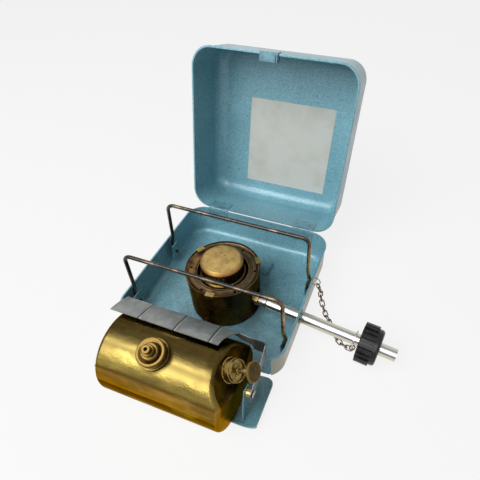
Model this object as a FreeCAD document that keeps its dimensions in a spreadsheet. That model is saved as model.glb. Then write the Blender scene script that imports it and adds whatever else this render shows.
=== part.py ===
"""A pocket-case kerosene pressure stove: steel case, brass tank with pump, burner, key.

Millimetres. X runs along the tank, Y runs back to the lid hinge and Z is up.
The origin is the middle of the tray's underside, on the surface that it stands on.
"""
import FreeCAD, Part
import math
import os

import Sketcher
from FreeCAD import Placement, Rotation, Vector

doc = FreeCAD.newDocument("CaseStove")
dims = doc.addObject("Spreadsheet::Sheet", "Dims")
next_row = 1


def dimension(name, value):
    """Adds one driving dimension to the sheet."""
    global next_row
    dims.set("A%d" % next_row, name)
    dims.set("B%d" % next_row, str(value))
    dims.setAlias("B%d" % next_row, name)
    next_row += 1


# The case: a pressed tray and lid of thin sheet.
dimension("sheet", 1.0)
dimension("case_width", 180)
dimension("case_depth", 180)
dimension("case_corner", 21)
dimension("tray_tall", 39)
dimension("tray_edge", 8)
dimension("lid_tall", 64)
dimension("lid_edge", 15)
dimension("lid_gap", 0.5)
dimension("lid_open", 105)
dimension("rim_out", 1.0)
dimension("rim_tall", 2.4)
dimension("mouth_half", 81)
dimension("floor_front", -83.5)
# The lid's hinge and the flap in front.
dimension("hinge_back", 91.1)
dimension("hinge_across", 56)
dimension("leaf_long", 26)
dimension("leaf_deep", 17)
dimension("leaf_thick", 0.7)
dimension("knuckle_radius", 1.5)
dimension("pin_radius", 0.8)
dimension("flap_front", -140)
dimension("flap_back", -87.4)
dimension("flap_thick", 0.9)
dimension("flap_flat_half", 70)
dimension("flap_curl", 20)
dimension("flap_curl_angle", 58)
dimension("flap_corner", 12)
dimension("flap_hinge_back", -85.6)
dimension("flap_hinge_up", 1.7)
dimension("stay_across", 71.6)
# The wire pot supports.
dimension("wire_radius", 2)
dimension("hoop_tall", 71)
dimension("hoop_half", 81.3)
dimension("hoop_foot", 86)
dimension("hoop_kink", 83.2)
dimension("hoop_pivot_up", 19)
dimension("front_pivot", -58.7)
dimension("back_pivot", 22.2)
dimension("front_lean", 0.5)
dimension("back_lean", 2)
dimension("clip_inner", 82.6)
dimension("clip_thick", 0.9)
dimension("clip_deep", 12)
dimension("clip_shelf", 11)
dimension("clip_top", 31)
# The fuel tank, a cylinder that lies along X.
dimension("tank_radius", 38.6)
dimension("tank_wall", 0.9)
dimension("tank_left", -54.5)
dimension("tank_right", 64)
dimension("tank_front", -123.8)
dimension("tank_up", 39.55)
dimension("tank_round", 4)
dimension("tank_seam", 44)
dimension("filler_across", -2.5)
dimension("filler_lean", 18)
dimension("neck_radius", 8)
dimension("neck_bore", 5.6)
dimension("filler_radius", 12.4)
dimension("saddle_radius", 13.4)
# The pump, set at a slant into a sloping seat that is pressed in the right end.
dimension("seat_slant", 18)
dimension("seat_across", 55.2)
dimension("seat_up", 65)
dimension("seat_radius", 21)
dimension("seat_rise", 14)
dimension("seat_reach", 46)
dimension("seat_round", 14)
dimension("pump_slant", 29)
dimension("pump_across", 56.5)
dimension("pump_front", -122)
dimension("pump_up", 65)
dimension("barrel_radius", 7.5)
dimension("barrel_bore", 6.8)
dimension("barrel_long", 78)
dimension("boss_radius", 10.2)
dimension("rod_radius", 2)
dimension("button_radius", 8.9)
dimension("button_out", 25.4)
dimension("leather_in", -56)
# The heat shield, a curved sheet that swings about the tank's axis.
dimension("shield_radius", 70)
dimension("shield_centre", -127.1)
dimension("shield_centre_up", 11.4)
dimension("shield_thick", 0.8)
dimension("shield_start", 12.9)
dimension("shield_sweep", 20.4)
dimension("shield_left", -62)
dimension("shield_right", 58)
dimension("scoop_radius", 34)
dimension("scoop_across", 78)
dimension("scoop_front", -112)
dimension("flange_back", -88.1)
dimension("flange_top", 67.6)
dimension("flange_low", 50.6)
dimension("flange_bend", 3.4)
dimension("arm_across", 77.4)
dimension("rivet_radius", 1.5)
# The burner and its cup.
dimension("burner_across", -1.1)
dimension("burner_back", -11.1)
dimension("cup_radius", 39.5)
dimension("cup_wall", 0.8)
dimension("cup_bottom", 1.2)
dimension("cup_top", 54.7)
dimension("slot_width", 18)
dimension("slot_top", 35)
dimension("plate_up", 51)
dimension("plate_inner", 27.5)
dimension("flame_radius", 22.7)
dimension("cap_radius", 22.5)
dimension("cap_up", 65)
# The valve and its key.
dimension("key_turn", 6.6)
dimension("key_up", 24)
dimension("spindle_radius", 2.2)
dimension("nut_start", 36)
dimension("socket_start", 44)
dimension("tube_start", 54)
dimension("tube_end", 192)
dimension("tube_radius", 6.2)
dimension("tube_bore", 5.2)
dimension("knob_start", 155.7)
dimension("knob_long", 20)
dimension("knob_radius", 18.3)
dimension("rib_tall", 2)
dimension("rib_long", 14)
dimension("key_hole", 8)
dimension("pipe_radius", 3.2)
dimension("pipe_up", 12)
# The chain and the ring that hangs it from the tray's wall.
dimension("ring_across", 93.2)
dimension("ring_back", 18)
dimension("ring_up", 37.9)
dimension("ring_radius", 5.5)
dimension("ring_wire", 0.5)
dimension("ring_hole", 1.5)
dimension("link_long", 9.6)
dimension("link_wide", 6)
dimension("link_wire", 0.65)
dimension("eye_out", 12.9)
dimension("eye_radius", 2)
doc.recompute()


def mm(name):
    """Reads one driving dimension."""
    return float(dims.get(name))


X_AXIS = Vector(1, 0, 0)
Y_AXIS = Vector(0, 1, 0)
Z_AXIS = Vector(0, 0, 1)
ALONG_X = Rotation(Y_AXIS, 90)
NO_TURN = Rotation()

# Frames: each is where a group of pieces has its own Z axis or its own origin.
burner_frame = Placement(Vector(mm("burner_across"), mm("burner_back"), 0),
                         Rotation(Z_AXIS, -mm("key_turn")))
key_frame = burner_frame * Placement(Vector(0, 0, mm("key_up")), ALONG_X)
tank_frame = Placement(Vector(mm("tank_left"), mm("tank_front"), mm("tank_up")), ALONG_X)
pump_frame = Placement(Vector(mm("pump_across"), mm("pump_front"), mm("pump_up")),
                       Rotation(Y_AXIS, 90 - mm("pump_slant")))
seat_frame = Placement(Vector(mm("seat_across"), mm("pump_front"), mm("seat_up")),
                       Rotation(Y_AXIS, 90 - mm("seat_slant")))
filler_frame = Placement(Vector(mm("filler_across"), mm("tank_front"), mm("tank_up")),
                         Rotation(X_AXIS, mm("filler_lean")))
rim_up = mm("tray_tall") + mm("lid_gap")
hinge_up = mm("tray_tall") + mm("lid_gap") / 2
lid_closed = Placement(Vector(0, 0, rim_up + mm("lid_tall")), Rotation(X_AXIS, 180))
lid_swing = Placement(Vector(), Rotation(X_AXIS, -mm("lid_open")),
                      Vector(0, mm("hinge_back"), hinge_up))

parts = []


def part(made, label, placement=None):
    """Names a finished sub-part and puts it in its place."""
    made.Label = label
    if placement is not None:
        made.Placement = placement
    parts.append(made)
    return made


def new_body(name):
    return doc.addObject("PartDesign::Body", name)


def new_sketch(body, name, role, up=None):
    """A sketch on one of the body's own origin planes, raised by an expression."""
    sketch = body.newObject("Sketcher::SketchObject", name)
    plane = [item for item in body.Origin.OriginFeatures if item.Role == role][0]
    sketch.AttachmentSupport = (plane, [""])
    sketch.MapMode = "FlatFace"
    if up is not None:
        sketch.setExpression("AttachmentOffset.Base.z", up)
    return sketch


def hold(sketch, line, kind, expression, axis):
    """Ties one coordinate of a line's start to an expression, or to an axis at zero."""
    if expression == "0":
        sketch.addConstraint(Sketcher.Constraint("PointOnObject", line, 1, axis))
        return
    index = sketch.addConstraint(Sketcher.Constraint(kind, -1, 1, line, 1, 1.0))
    sketch.setExpression("Constraints[%d]" % index, expression)


def polygon(sketch, corners):
    """A closed outline whose corners are pairs of expressions."""
    first = sketch.GeometryCount
    count = len(corners)
    around = [Vector(5 + math.cos(2 * math.pi * k / count), 5 + math.sin(2 * math.pi * k / count), 0)
              for k in range(count)]
    for k in range(count):
        sketch.addGeometry(Part.LineSegment(around[k], around[(k + 1) % count]), False)
    for k in range(count):
        after = first + (k + 1) % count
        sketch.addConstraint(Sketcher.Constraint("Coincident", first + k, 2, after, 1))
    for k, (across, up) in enumerate(corners):
        hold(sketch, first + k, "DistanceX", across, -2)
        hold(sketch, first + k, "DistanceY", up, -1)


def rounded_square(sketch, half, radius):
    """A square about the origin with rounded corners, drawn anticlockwise."""
    for k in range(4):
        turn = Rotation(Z_AXIS, 90 * k)
        start = turn.multVec(Vector(-8, -10, 0))
        end = turn.multVec(Vector(8, -10, 0))
        sketch.addGeometry(Part.LineSegment(start, end), False)
    for k in range(4):
        centre = Rotation(Z_AXIS, 90 * k).multVec(Vector(8, -8, 0))
        corner = Part.Circle(centre, Z_AXIS, 2)
        first = math.radians(90 * k - 90)
        sketch.addGeometry(Part.ArcOfCircle(corner, first, first + math.pi / 2), False)
    for k in range(4):
        sketch.addConstraint(Sketcher.Constraint("Tangent", k, 2, k + 4, 1))
        sketch.addConstraint(Sketcher.Constraint("Tangent", k + 4, 2, (k + 1) % 4, 1))
        level = "Horizontal" if k % 2 == 0 else "Vertical"
        sketch.addConstraint(Sketcher.Constraint(level, k))
    for k in range(3):
        sketch.addConstraint(Sketcher.Constraint("Equal", k + 4, k + 5))
    place = sketch.addConstraint(Sketcher.Constraint("Radius", 4, 2.0))
    sketch.setExpression("Constraints[%d]" % place, radius)
    for k, kind, sign in ((0, "DistanceY", "-"), (1, "DistanceX", ""), (2, "DistanceY", ""),
                          (3, "DistanceX", "-")):
        value = -10.0 if sign else 10.0
        place = sketch.addConstraint(Sketcher.Constraint(kind, -1, 1, k, 1, value))
        sketch.setExpression("Constraints[%d]" % place, "%s(%s)" % (sign, half))


def circle(sketch, radius, across="0", up="0"):
    """A circle held by expressions for its radius and its centre."""
    index = sketch.addGeometry(Part.Circle(Vector(1, 1, 0), Z_AXIS, 2), False)
    place = sketch.addConstraint(Sketcher.Constraint("Radius", index, 2.0))
    sketch.setExpression("Constraints[%d]" % place, radius)
    for kind, expression, axis in (("DistanceX", across, -2), ("DistanceY", up, -1)):
        if expression == "0":
            sketch.addConstraint(Sketcher.Constraint("PointOnObject", index, 3, axis))
        else:
            place = sketch.addConstraint(Sketcher.Constraint(kind, -1, 1, index, 3, 1.0))
            sketch.setExpression("Constraints[%d]" % place, expression)


def pad(body, sketch, length):
    feature = body.newObject("PartDesign::Pad", sketch.Name + "_pad")
    feature.Profile = sketch
    feature.setExpression("Length", length)
    doc.recompute()
    return feature


def pocket(body, sketch, length, upward=False):
    """Cuts a sketch out of the body and makes sure that it removed something."""
    before = body.Shape.Volume
    feature = body.newObject("PartDesign::Pocket", sketch.Name + "_pocket")
    feature.Profile = sketch
    feature.setExpression("Length", length)
    feature.Reversed = upward
    doc.recompute()
    if feature.Shape.Volume >= before - 1e-6:
        raise RuntimeError("%s cuts nothing" % feature.Name)
    return feature


def edges_where(shape, test):
    """The names of the edges that pass a test."""
    return ["Edge%d" % (k + 1) for k, edge in enumerate(shape.Edges) if test(edge)]


def fillet(body, test, radius, name):
    """Rounds the edges of the body's tip that pass a test."""
    tip = body.Tip
    feature = body.newObject("PartDesign::Fillet", name)
    feature.Base = (tip, edges_where(tip.Shape, test))
    feature.setExpression("Radius", radius)
    doc.recompute()
    return feature


def level_at(edge, up):
    """True for an edge that lies flat at one height."""
    box = edge.BoundBox
    return box.ZLength < 0.01 and abs(box.ZMin - up) < 0.01


def ring_at(edge, radius, up):
    """True for a circular edge about the body's own Z axis."""
    if not level_at(edge, up) or not hasattr(edge.Curve, "Radius"):
        return False
    return abs(edge.Curve.Radius - radius) < 0.01 and math.hypot(
        edge.Curve.Center.x, edge.Curve.Center.y) < 0.01


def turned(name, corners):
    """A body turned about its own Z axis from (radius, height) expressions."""
    body = new_body(name)
    sketch = new_sketch(body, name + "_profile", "XZ_Plane")
    polygon(sketch, corners)
    feature = body.newObject("PartDesign::Revolution", name + "_turn")
    feature.Profile = sketch
    feature.ReferenceAxis = (sketch, ["V_Axis"])
    feature.Angle = 360
    doc.recompute()
    return body


def tube(name, outer, inner, low, high):
    """A turned ring of plain rectangular section."""
    return turned(name, [(inner, low), (outer, low), (outer, high), (inner, high)])


def rod(name, radius, low, high):
    """A turned solid bar."""
    return turned(name, [("0", low), (radius, low), (radius, high), ("0", high)])


def box(name, low, high):
    """A Part box between two corners given as expressions."""
    made = doc.addObject("Part::Box", name)
    for axis, size, start, end in zip("xyz", ("Length", "Width", "Height"), low, high):
        made.setExpression(size, "(%s) - (%s)" % (end, start))
        made.setExpression("Placement.Base.%s" % axis, start)
    return made


def plate(name, long, wide, tall, placement):
    """A Part box whose own corner is set by a placement."""
    made = doc.addObject("Part::Box", name)
    for size, expression in (("Length", long), ("Width", wide), ("Height", tall)):
        made.setExpression(size, expression)
    made.Placement = placement
    return made


def cylinder(name, radius, long, placement):
    """A Part cylinder whose axis is its placement's Z axis."""
    made = doc.addObject("Part::Cylinder", name)
    made.setExpression("Radius", radius)
    made.setExpression("Height", long)
    made.Placement = placement
    return made


def cut(name, base, *tools):
    """The base with every tool taken out of it."""
    for k, tool in enumerate(tools):
        made = doc.addObject("Part::Cut", name if k == len(tools) - 1 else name + "_cut%d" % k)
        made.Base = base
        made.Tool = tool
        base = made
    return base


def rounded(name, base, radius, test):
    """The base with the edges that pass a test rounded to one radius."""
    doc.recompute()
    made = doc.addObject("Part::Fillet", name)
    made.Base = base
    made.Edges = [(k + 1, radius, radius) for k, edge in enumerate(base.Shape.Edges) if test(edge)]
    doc.recompute()
    return made


def fuse(name, shapes):
    made = doc.addObject("Part::MultiFuse", name)
    made.Shapes = shapes
    made.Refine = True
    return made


def shaped(name, shape):
    """A plain feature for a form that is built from a path."""
    made = doc.addObject("Part::Feature", name)
    made.Shape = shape
    return made


def bent_rod(points, bends, radius):
    """A round wire along straight runs joined by tangent arcs, one bend radius a corner."""
    edges = []
    last = points[0]
    for before, corner, after, bend in zip(points, points[1:], points[2:], bends):
        incoming = (before - corner).normalize()
        outgoing = (after - corner).normalize()
        half_angle = incoming.getAngle(outgoing) / 2
        reach = bend / math.tan(half_angle)
        start = corner + incoming * reach
        end = corner + outgoing * reach
        middle = corner + (incoming + outgoing).normalize() * (bend / math.sin(half_angle) - bend)
        edges.append(Part.LineSegment(last, start).toShape())
        edges.append(Part.Arc(start, middle, end).toShape())
        last = end
    edges.append(Part.LineSegment(last, points[-1]).toShape())
    section = Part.Wire(Part.Circle(points[0], points[1] - points[0], radius).toShape())
    return Part.Wire(edges).makePipeShell([section], True, False)


def hexagon(name, across_flats, bore, low, high):
    """A hexagonal nut about its own Z axis, with chamfered corners and a bore."""
    prism = doc.addObject("Part::Prism", name + "_prism")
    prism.Polygon = 6
    prism.setExpression("Circumradius", "(%s) / (2 * cos(30deg))" % across_flats)
    prism.setExpression("Height", "(%s) - (%s)" % (high, low))
    prism.setExpression("Placement.Base.z", low)
    domed = turned(name + "_blank", [
        (bore, low),
        ("(%s) / 2" % across_flats, low),
        ("(%s) * 0.6" % across_flats, "(%s) + 1" % low),
        ("(%s) * 0.6" % across_flats, "(%s) - 1" % high),
        ("(%s) / 2" % across_flats, high),
        (bore, high)])
    made = doc.addObject("Part::Common", name)
    made.Base = prism
    made.Tool = domed
    return made


# ---------------------------------------------------------------- case


def pressed_pan(name, tall, edge):
    """A square pan pressed from sheet: floor at Z = 0, rolled rim at the open top."""
    body = new_body(name + "_outside")
    half = "Dims.case_width / 2"
    outline = new_sketch(body, name + "_outline", "XY_Plane")
    rounded_square(outline, half, "Dims.case_corner")
    pad(body, outline, tall)
    fillet(body, lambda e: level_at(e, 0), edge, name + "_edge")
    rim = new_sketch(body, name + "_rim", "XY_Plane", "%s - Dims.rim_tall" % tall)
    rounded_square(rim, half + " + Dims.rim_out", "Dims.case_corner + Dims.rim_out")
    pad(body, rim, "Dims.rim_tall")
    reach = mm("case_width") / 2 + mm("rim_out")
    fillet(body, lambda e: on_rim(e, reach), "Dims.rim_out * 0.7", name + "_rim_roll")
    inside = new_body(name + "_inside")
    cavity = new_sketch(inside, name + "_cavity", "XY_Plane", "Dims.sheet")
    rounded_square(cavity, half + " - Dims.sheet", "Dims.case_corner - Dims.sheet")
    pad(inside, cavity, tall)
    fillet(inside, lambda e: level_at(e, mm("sheet")), "%s - Dims.sheet" % edge,
           name + "_inner_edge")
    return cut(name, body, inside)


def on_rim(edge, reach):
    """True for the flat-lying edges of the rim's outer face."""
    box = edge.BoundBox
    if box.ZLength > 0.01:
        return False
    middle = edge.valueAt((edge.FirstParameter + edge.LastParameter) / 2)
    inner = reach - mm("rim_out") / 2
    corner = mm("case_corner") + mm("rim_out")
    away = math.hypot(max(abs(middle.x) - reach + corner, 0), max(abs(middle.y) - reach + corner, 0))
    return away > corner - mm("rim_out") / 2 and max(abs(middle.x), abs(middle.y)) < inner + 5


def make_tray():
    """The lower pan, with its front cut away between the corners and a hole for the key."""
    pan = pressed_pan("tray_pan", "Dims.tray_tall", "Dims.tray_edge")
    mouth = box("tray_mouth", ("-Dims.mouth_half", "-Dims.case_depth", "Dims.sheet"),
                ("Dims.mouth_half", "Dims.floor_front + 12", "Dims.tray_tall + 1"))
    front = box("tray_front", ("-Dims.mouth_half", "-Dims.case_depth", "-1"),
                ("Dims.mouth_half", "Dims.floor_front", "Dims.sheet * 2"))
    notches = []
    for side in (-1, 1):
        centre = "%d * Dims.hinge_across" % side
        notches.append(box("tray_notch_%d" % (side + 2), (
            "%s - Dims.leaf_long / 2 - 0.5" % centre, "Dims.case_depth / 2 - Dims.sheet - 0.5",
            "Dims.tray_tall - 1.9"), (
            "%s + Dims.leaf_long / 2 + 0.5" % centre, "Dims.case_depth / 2 + 4",
            "Dims.tray_tall + 1")))
    hole = cylinder("tray_key_hole", "Dims.key_hole", "30",
                    key_frame * Placement(Vector(0, 0, 80), NO_TURN))
    chain_hole = cylinder("tray_chain_hole", "Dims.ring_hole", "4", Placement(
        Vector(mm("case_width") / 2 - 2.5, mm("ring_back"), mm("ring_up") - 4), ALONG_X))
    part(cut("tray", pan, mouth, front, *notches, hole, chain_hole), "tray")


def make_lid():
    """The upper pan, standing open on the hinge."""
    pan = pressed_pan("lid_pan", "Dims.lid_tall", "Dims.lid_edge")
    notches = []
    for side in (-1, 1):
        centre = "%d * Dims.hinge_across" % side
        notches.append(box("lid_notch_%d" % (side + 2), (
            "%s - Dims.leaf_long / 2 - 0.5" % centre, "-Dims.case_depth / 2 - 4",
            "Dims.lid_tall - 1.9"), (
            "%s + Dims.leaf_long / 2 + 0.5" % centre, "-Dims.case_depth / 2 + Dims.sheet + 0.5",
            "Dims.lid_tall + 1")))
    peg_hole = new_body("lid_peg_hole")
    outline = new_sketch(peg_hole, "peg_hole_outline", "XZ_Plane", "-Dims.case_depth / 2 - 2")
    polygon(outline, [("8.8", "Dims.lid_tall - 3.4"), ("11.6", "Dims.lid_tall - 3.8"),
                      ("9.4", "Dims.lid_tall - 6.8")])
    pad(peg_hole, outline, "5")
    part(cut("lid", pan, peg_hole, *notches), "lid", lid_swing * lid_closed)


def leaf(name, sign, outer_knuckles):
    """One hinge leaf: plate on the inner wall, flange through the notch, rolled knuckles."""
    up = "%f" % hinge_up
    wall = "Dims.case_depth / 2 - Dims.sheet"
    pieces = []
    for side in (-1, 1):
        centre = "%d * Dims.hinge_across" % side
        tag = "%s_%d" % (name, side + 2)
        left = "%s - Dims.leaf_long / 2" % centre
        right = "%s + Dims.leaf_long / 2" % centre
        near = "%s + %d * 0.75" % (up, sign)
        far = "%s + %d * (0.75 + Dims.leaf_thick)" % (up, sign)
        tip = "%s + %d * Dims.leaf_deep" % (up, sign)
        low, high = (near, far) if sign > 0 else (far, near)
        plate_low, plate_high = (near, tip) if sign > 0 else (tip, near)
        pieces.append(box(tag + "_plate", (left, wall + " - Dims.leaf_thick", plate_low),
                          (right, wall, plate_high)))
        third = "Dims.leaf_long / 3"
        spans = [(left, "%s + %s - 0.15" % (left, third)), ("%s - %s + 0.15" % (right, third), right)]
        if not outer_knuckles:
            spans = [("%s + %s + 0.15" % (left, third), "%s - %s - 0.15" % (right, third))]
        for k, (start, end) in enumerate(spans):
            pieces.append(box("%s_flange%d" % (tag, k), (start, wall + " - Dims.leaf_thick", low),
                              (end, "Dims.hinge_back", high)))
            knuckle = cylinder("%s_knuckle%d" % (tag, k), "Dims.knuckle_radius",
                               "(%s) - (%s)" % (end, start),
                               Placement(Vector(0, mm("hinge_back"), hinge_up), ALONG_X))
            knuckle.setExpression("Placement.Base.x", start)
            pieces.append(knuckle)
    bore = cylinder(name + "_bore", "Dims.pin_radius + 0.05", "Dims.case_width",
                    Placement(Vector(-mm("case_width") / 2, mm("hinge_back"), hinge_up), ALONG_X))
    return cut(name, fuse(name + "_strips", pieces), bore)


def make_hinge():
    part(leaf("tray_hinge_leaves", -1, False), "tray_hinge_leaves")
    part(leaf("lid_hinge_leaves", 1, True), "lid_hinge_leaves", lid_swing)
    pins = []
    for side in (-1, 1):
        start = side * mm("hinge_across") - mm("leaf_long") / 2 - 0.4
        pins.append(cylinder("lid_pin_%d" % (side + 2), "Dims.pin_radius", "Dims.leaf_long + 0.8",
                             Placement(Vector(start, mm("hinge_back"), hinge_up), ALONG_X)))
    part(fuse("lid_hinge_pins", pins), "lid_hinge_pins")


def make_lid_catch():
    """The bent clip on the lid's free rim that snaps over the flap's lip."""
    top = "Dims.lid_tall"
    rim = "Dims.case_depth / 2 + Dims.rim_out"
    across = -4.5
    left, right = str(across - 8.5), str(across + 10.6)
    outer = box("catch_outer", (left, rim, top + " - 9"), (right, rim + " + 1", top + " + 2.4"))
    bridge = box("catch_bridge", (left, "Dims.case_depth / 2 - 7", top + " + 1.4"),
                 (right, rim + " + 1", top + " + 2.4"))
    inner = box("catch_inner", (left, "Dims.case_depth / 2 - 7", top + " - 6"),
                (right, "Dims.case_depth / 2 - 6", top + " + 2.4"))
    foot = box("catch_foot", (left, "Dims.case_depth / 2 - 7", top + " - 6"),
               (right, "Dims.case_depth / 2 - Dims.sheet", top + " - 5"))
    slot = box("catch_slot", (str(across + 8.5), "Dims.case_depth / 2 - 8", top + " - 7"),
               (str(across + 9.3), "Dims.case_depth / 2", top + " + 3"))
    part(cut("lid_catch", fuse("catch_strips", [outer, bridge, inner, foot]), slot), "lid_catch",
         lid_swing * lid_closed)


def make_label():
    """The printed sheet stuck inside the lid, kept plain."""
    corner = Placement(Vector(-43.5, -68, mm("sheet")), NO_TURN)
    sheet = plate("lid_label", "105.5", "103.5", "0.3", lid_swing * lid_closed * corner)
    part(sheet, "lid_label")


def flap_curl(side):
    """One end of the flap, curled up to follow the tray's corner."""
    name = "flap_curl_%d" % (side + 2)
    long = "Dims.flap_back - Dims.flap_front"
    centre = Vector(side * mm("flap_flat_half"), mm("flap_back"), mm("flap_curl"))
    start = -90 if side > 0 else -90 - mm("flap_curl_angle")
    frame = Placement(centre, Rotation(X_AXIS, 90)) * Placement(Vector(), Rotation(Z_AXIS, start))
    outer = cylinder(name + "_outer", "Dims.flap_curl", long, frame)
    inner = cylinder(name + "_inner", "Dims.flap_curl - Dims.flap_thick", long, frame)
    outer.setExpression("Angle", "Dims.flap_curl_angle")
    return cut(name, outer, inner)


def flap_lip(side):
    """The rolled lip on the curled end of the flap."""
    name = "flap_lip_%d" % (side + 2)
    centre = Vector(side * mm("flap_flat_half"), mm("flap_front") + 2.2, mm("flap_curl"))
    start = -90 if side > 0 else -90 - mm("flap_curl_angle")
    frame = Placement(centre, Rotation(X_AXIS, 90)) * Placement(Vector(), Rotation(Z_AXIS, start))
    outer = cylinder(name + "_outer", "Dims.flap_curl", "2.2", frame)
    inner = cylinder(name + "_inner", "Dims.flap_curl - 2.2", "2.2", frame)
    outer.setExpression("Angle", "Dims.flap_curl_angle")
    return cut(name, outer, inner)


def flap_corner(side):
    """The waste outside the rounded corner beside the hinge."""
    name = "flap_corner_%d" % (side + 2)
    reach = "(Dims.flap_flat_half + Dims.flap_curl)"
    inner = "(%s - Dims.flap_corner - 3)" % reach
    low, high = (inner, reach) if side > 0 else ("-" + reach, "-" + inner)
    block = box(name + "_block", (low, "Dims.flap_back - Dims.flap_corner", "-1"),
                (high, "Dims.flap_back + 1", "Dims.flap_curl"))
    centre = Vector(side * (mm("flap_flat_half") + mm("flap_curl") - mm("flap_corner") - 3),
                    mm("flap_back") - mm("flap_corner"), -1)
    disc = cylinder(name + "_disc", "Dims.flap_corner", "Dims.flap_curl + 2",
                    Placement(centre, NO_TURN))
    return cut(name, block, disc)


def make_flap():
    """The tray's front wall, hinged down flat in front; the tank stands on it."""
    flat = box("flap_flat", ("-Dims.flap_flat_half", "Dims.flap_front", "0"),
               ("Dims.flap_flat_half", "Dims.flap_back", "Dims.flap_thick"))
    lip = box("flap_lip", ("-Dims.flap_flat_half", "Dims.flap_front", "0"),
              ("Dims.flap_flat_half", "Dims.flap_front + 2.2", "2.2"))
    axis = Vector(0, mm("flap_hinge_back"), mm("flap_hinge_up"))
    pieces = [flat, lip, flap_curl(-1), flap_curl(1), flap_lip(-1), flap_lip(1)]
    lugs = []
    pins = []
    for side in (-1, 1):
        for k, (start, long) in enumerate(((-12, 7.8), (4.2, 7.8))):
            place = Placement(axis + Vector(side * 54 + start, 0, 0), ALONG_X)
            tag = "flap_knuckle_%d%d" % (side + 2, k)
            pieces.append(cylinder(tag, "Dims.knuckle_radius", str(long), place))
            left = side * 54 + start
            pieces.append(box(tag + "_tongue", (
                str(left), "Dims.flap_back - 1", "0.2"), (
                str(left + long), "Dims.flap_hinge_back", "0.9")))
        place = Placement(axis + Vector(side * 54 - 3.9, 0, 0), ALONG_X)
        lugs.append(cylinder("flap_lug_%d" % (side + 2), "Dims.knuckle_radius", "7.8", place))
        lugs.append(box("flap_lug_tongue_%d" % (side + 2), (
            str(side * 54 - 3.9), "Dims.flap_hinge_back", "1.0"), (
            str(side * 54 + 3.9), "Dims.floor_front + 8", "1.8")))
        place = Placement(axis + Vector(side * 54 - 12.6, 0, 0), ALONG_X)
        pins.append(cylinder("flap_pin_%d" % (side + 2), "Dims.pin_radius", "25.2", place))
    bore_place = Placement(axis - Vector(90, 0, 0), ALONG_X)
    bore = cylinder("flap_bore", "Dims.pin_radius + 0.02", "180", bore_place)
    part(cut("front_flap", fuse("flap_sheet", pieces), bore, flap_corner(-1), flap_corner(1)),
         "front_flap")
    bore = cylinder("lug_bore", "Dims.pin_radius + 0.02", "180", bore_place)
    part(cut("flap_hinge_lugs", fuse("flap_lugs", lugs), bore), "flap_hinge_lugs")
    part(fuse("flap_hinge_pins", pins), "flap_hinge_pins")


def make_stay():
    """The gusset that stands on the flap and carries the shield's rivet."""
    body = new_body("flap_stay")
    sketch = new_sketch(body, "stay_outline", "YZ_Plane", "Dims.stay_across")
    polygon(sketch, [
        ("Dims.tank_front - 12.8", "Dims.flap_thick + 0.17"),
        ("Dims.tank_front - 5.6", "Dims.flap_thick + 0.17"),
        ("Dims.tank_front + 6.6", "Dims.tank_up - 4.3"),
        ("Dims.tank_front + 5.2", "Dims.tank_up + 5.4"),
        ("Dims.tank_front - 3.8", "Dims.tank_up + 6.6"),
        ("Dims.tank_front - 7.2", "Dims.tank_up - 2.3")])
    pad(body, sketch, "0.9")
    hole = new_sketch(body, "stay_hole", "YZ_Plane", "Dims.stay_across + 2")
    circle(hole, "Dims.rivet_radius", "Dims.tank_front", "Dims.tank_up")
    pocket(body, hole, "4")
    part(body, "flap_stay")


def make_floor_tab():
    """A small bent tab on the tray floor that locates the cup when it is packed."""
    base = box("tab_base", ("20", "38.5", "Dims.sheet"), ("31.1", "57", "Dims.sheet + 0.9"))
    wall = box("tab_wall", ("30.2", "38.5", "Dims.sheet"), ("31.1", "57", "Dims.sheet + 5"))
    lip = box("tab_lip", ("27.6", "40", "Dims.sheet + 4.1"), ("31.1", "57", "Dims.sheet + 5"))
    part(fuse("floor_tab", [base, wall, lip]), "floor_tab")


# ------------------------------------------------------- pot supports


def support_clip(side, pivot):
    """A clip welded to the side wall: weld tab, shelf and the plate with the hole."""
    body = new_body("clip_%s_%d" % (pivot, side + 2))
    sketch = new_sketch(body, body.Name + "_outline", "XZ_Plane",
                        "-(Dims.%s) - Dims.clip_deep / 2" % pivot)
    sign = "" if side > 0 else "-"
    wall, face = "Dims.case_width / 2 - Dims.sheet", "Dims.clip_inner"
    low, shelf, top = "Dims.tray_edge + 0.2", "Dims.clip_shelf", "Dims.clip_top"
    thick = "Dims.clip_thick"
    corners = [(wall, low), (wall, "%s + %s" % (shelf, thick)),
               ("%s + %s" % (face, thick), "%s + %s" % (shelf, thick)),
               ("%s + %s" % (face, thick), top), (face, top), (face, shelf),
               ("%s - %s" % (wall, thick), shelf), ("%s - %s" % (wall, thick), low)]
    polygon(sketch, [("%s(%s)" % (sign, across), up) for across, up in corners])
    pad(body, sketch, "Dims.clip_deep")
    return body


def make_clips():
    pieces = []
    holes = []
    for pivot in ("front_pivot", "back_pivot"):
        pieces += [support_clip(side, pivot) for side in (-1, 1)]
        place = Placement(Vector(-mm("case_width") / 2 + 2, mm(pivot), mm("hoop_pivot_up")), ALONG_X)
        holes.append(cylinder("clip_hole_" + pivot, "Dims.wire_radius + 0.06",
                              "Dims.case_width - 4", place))
    part(cut("support_clips", fuse("clip_strips", pieces), *holes), "support_clips")


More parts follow.
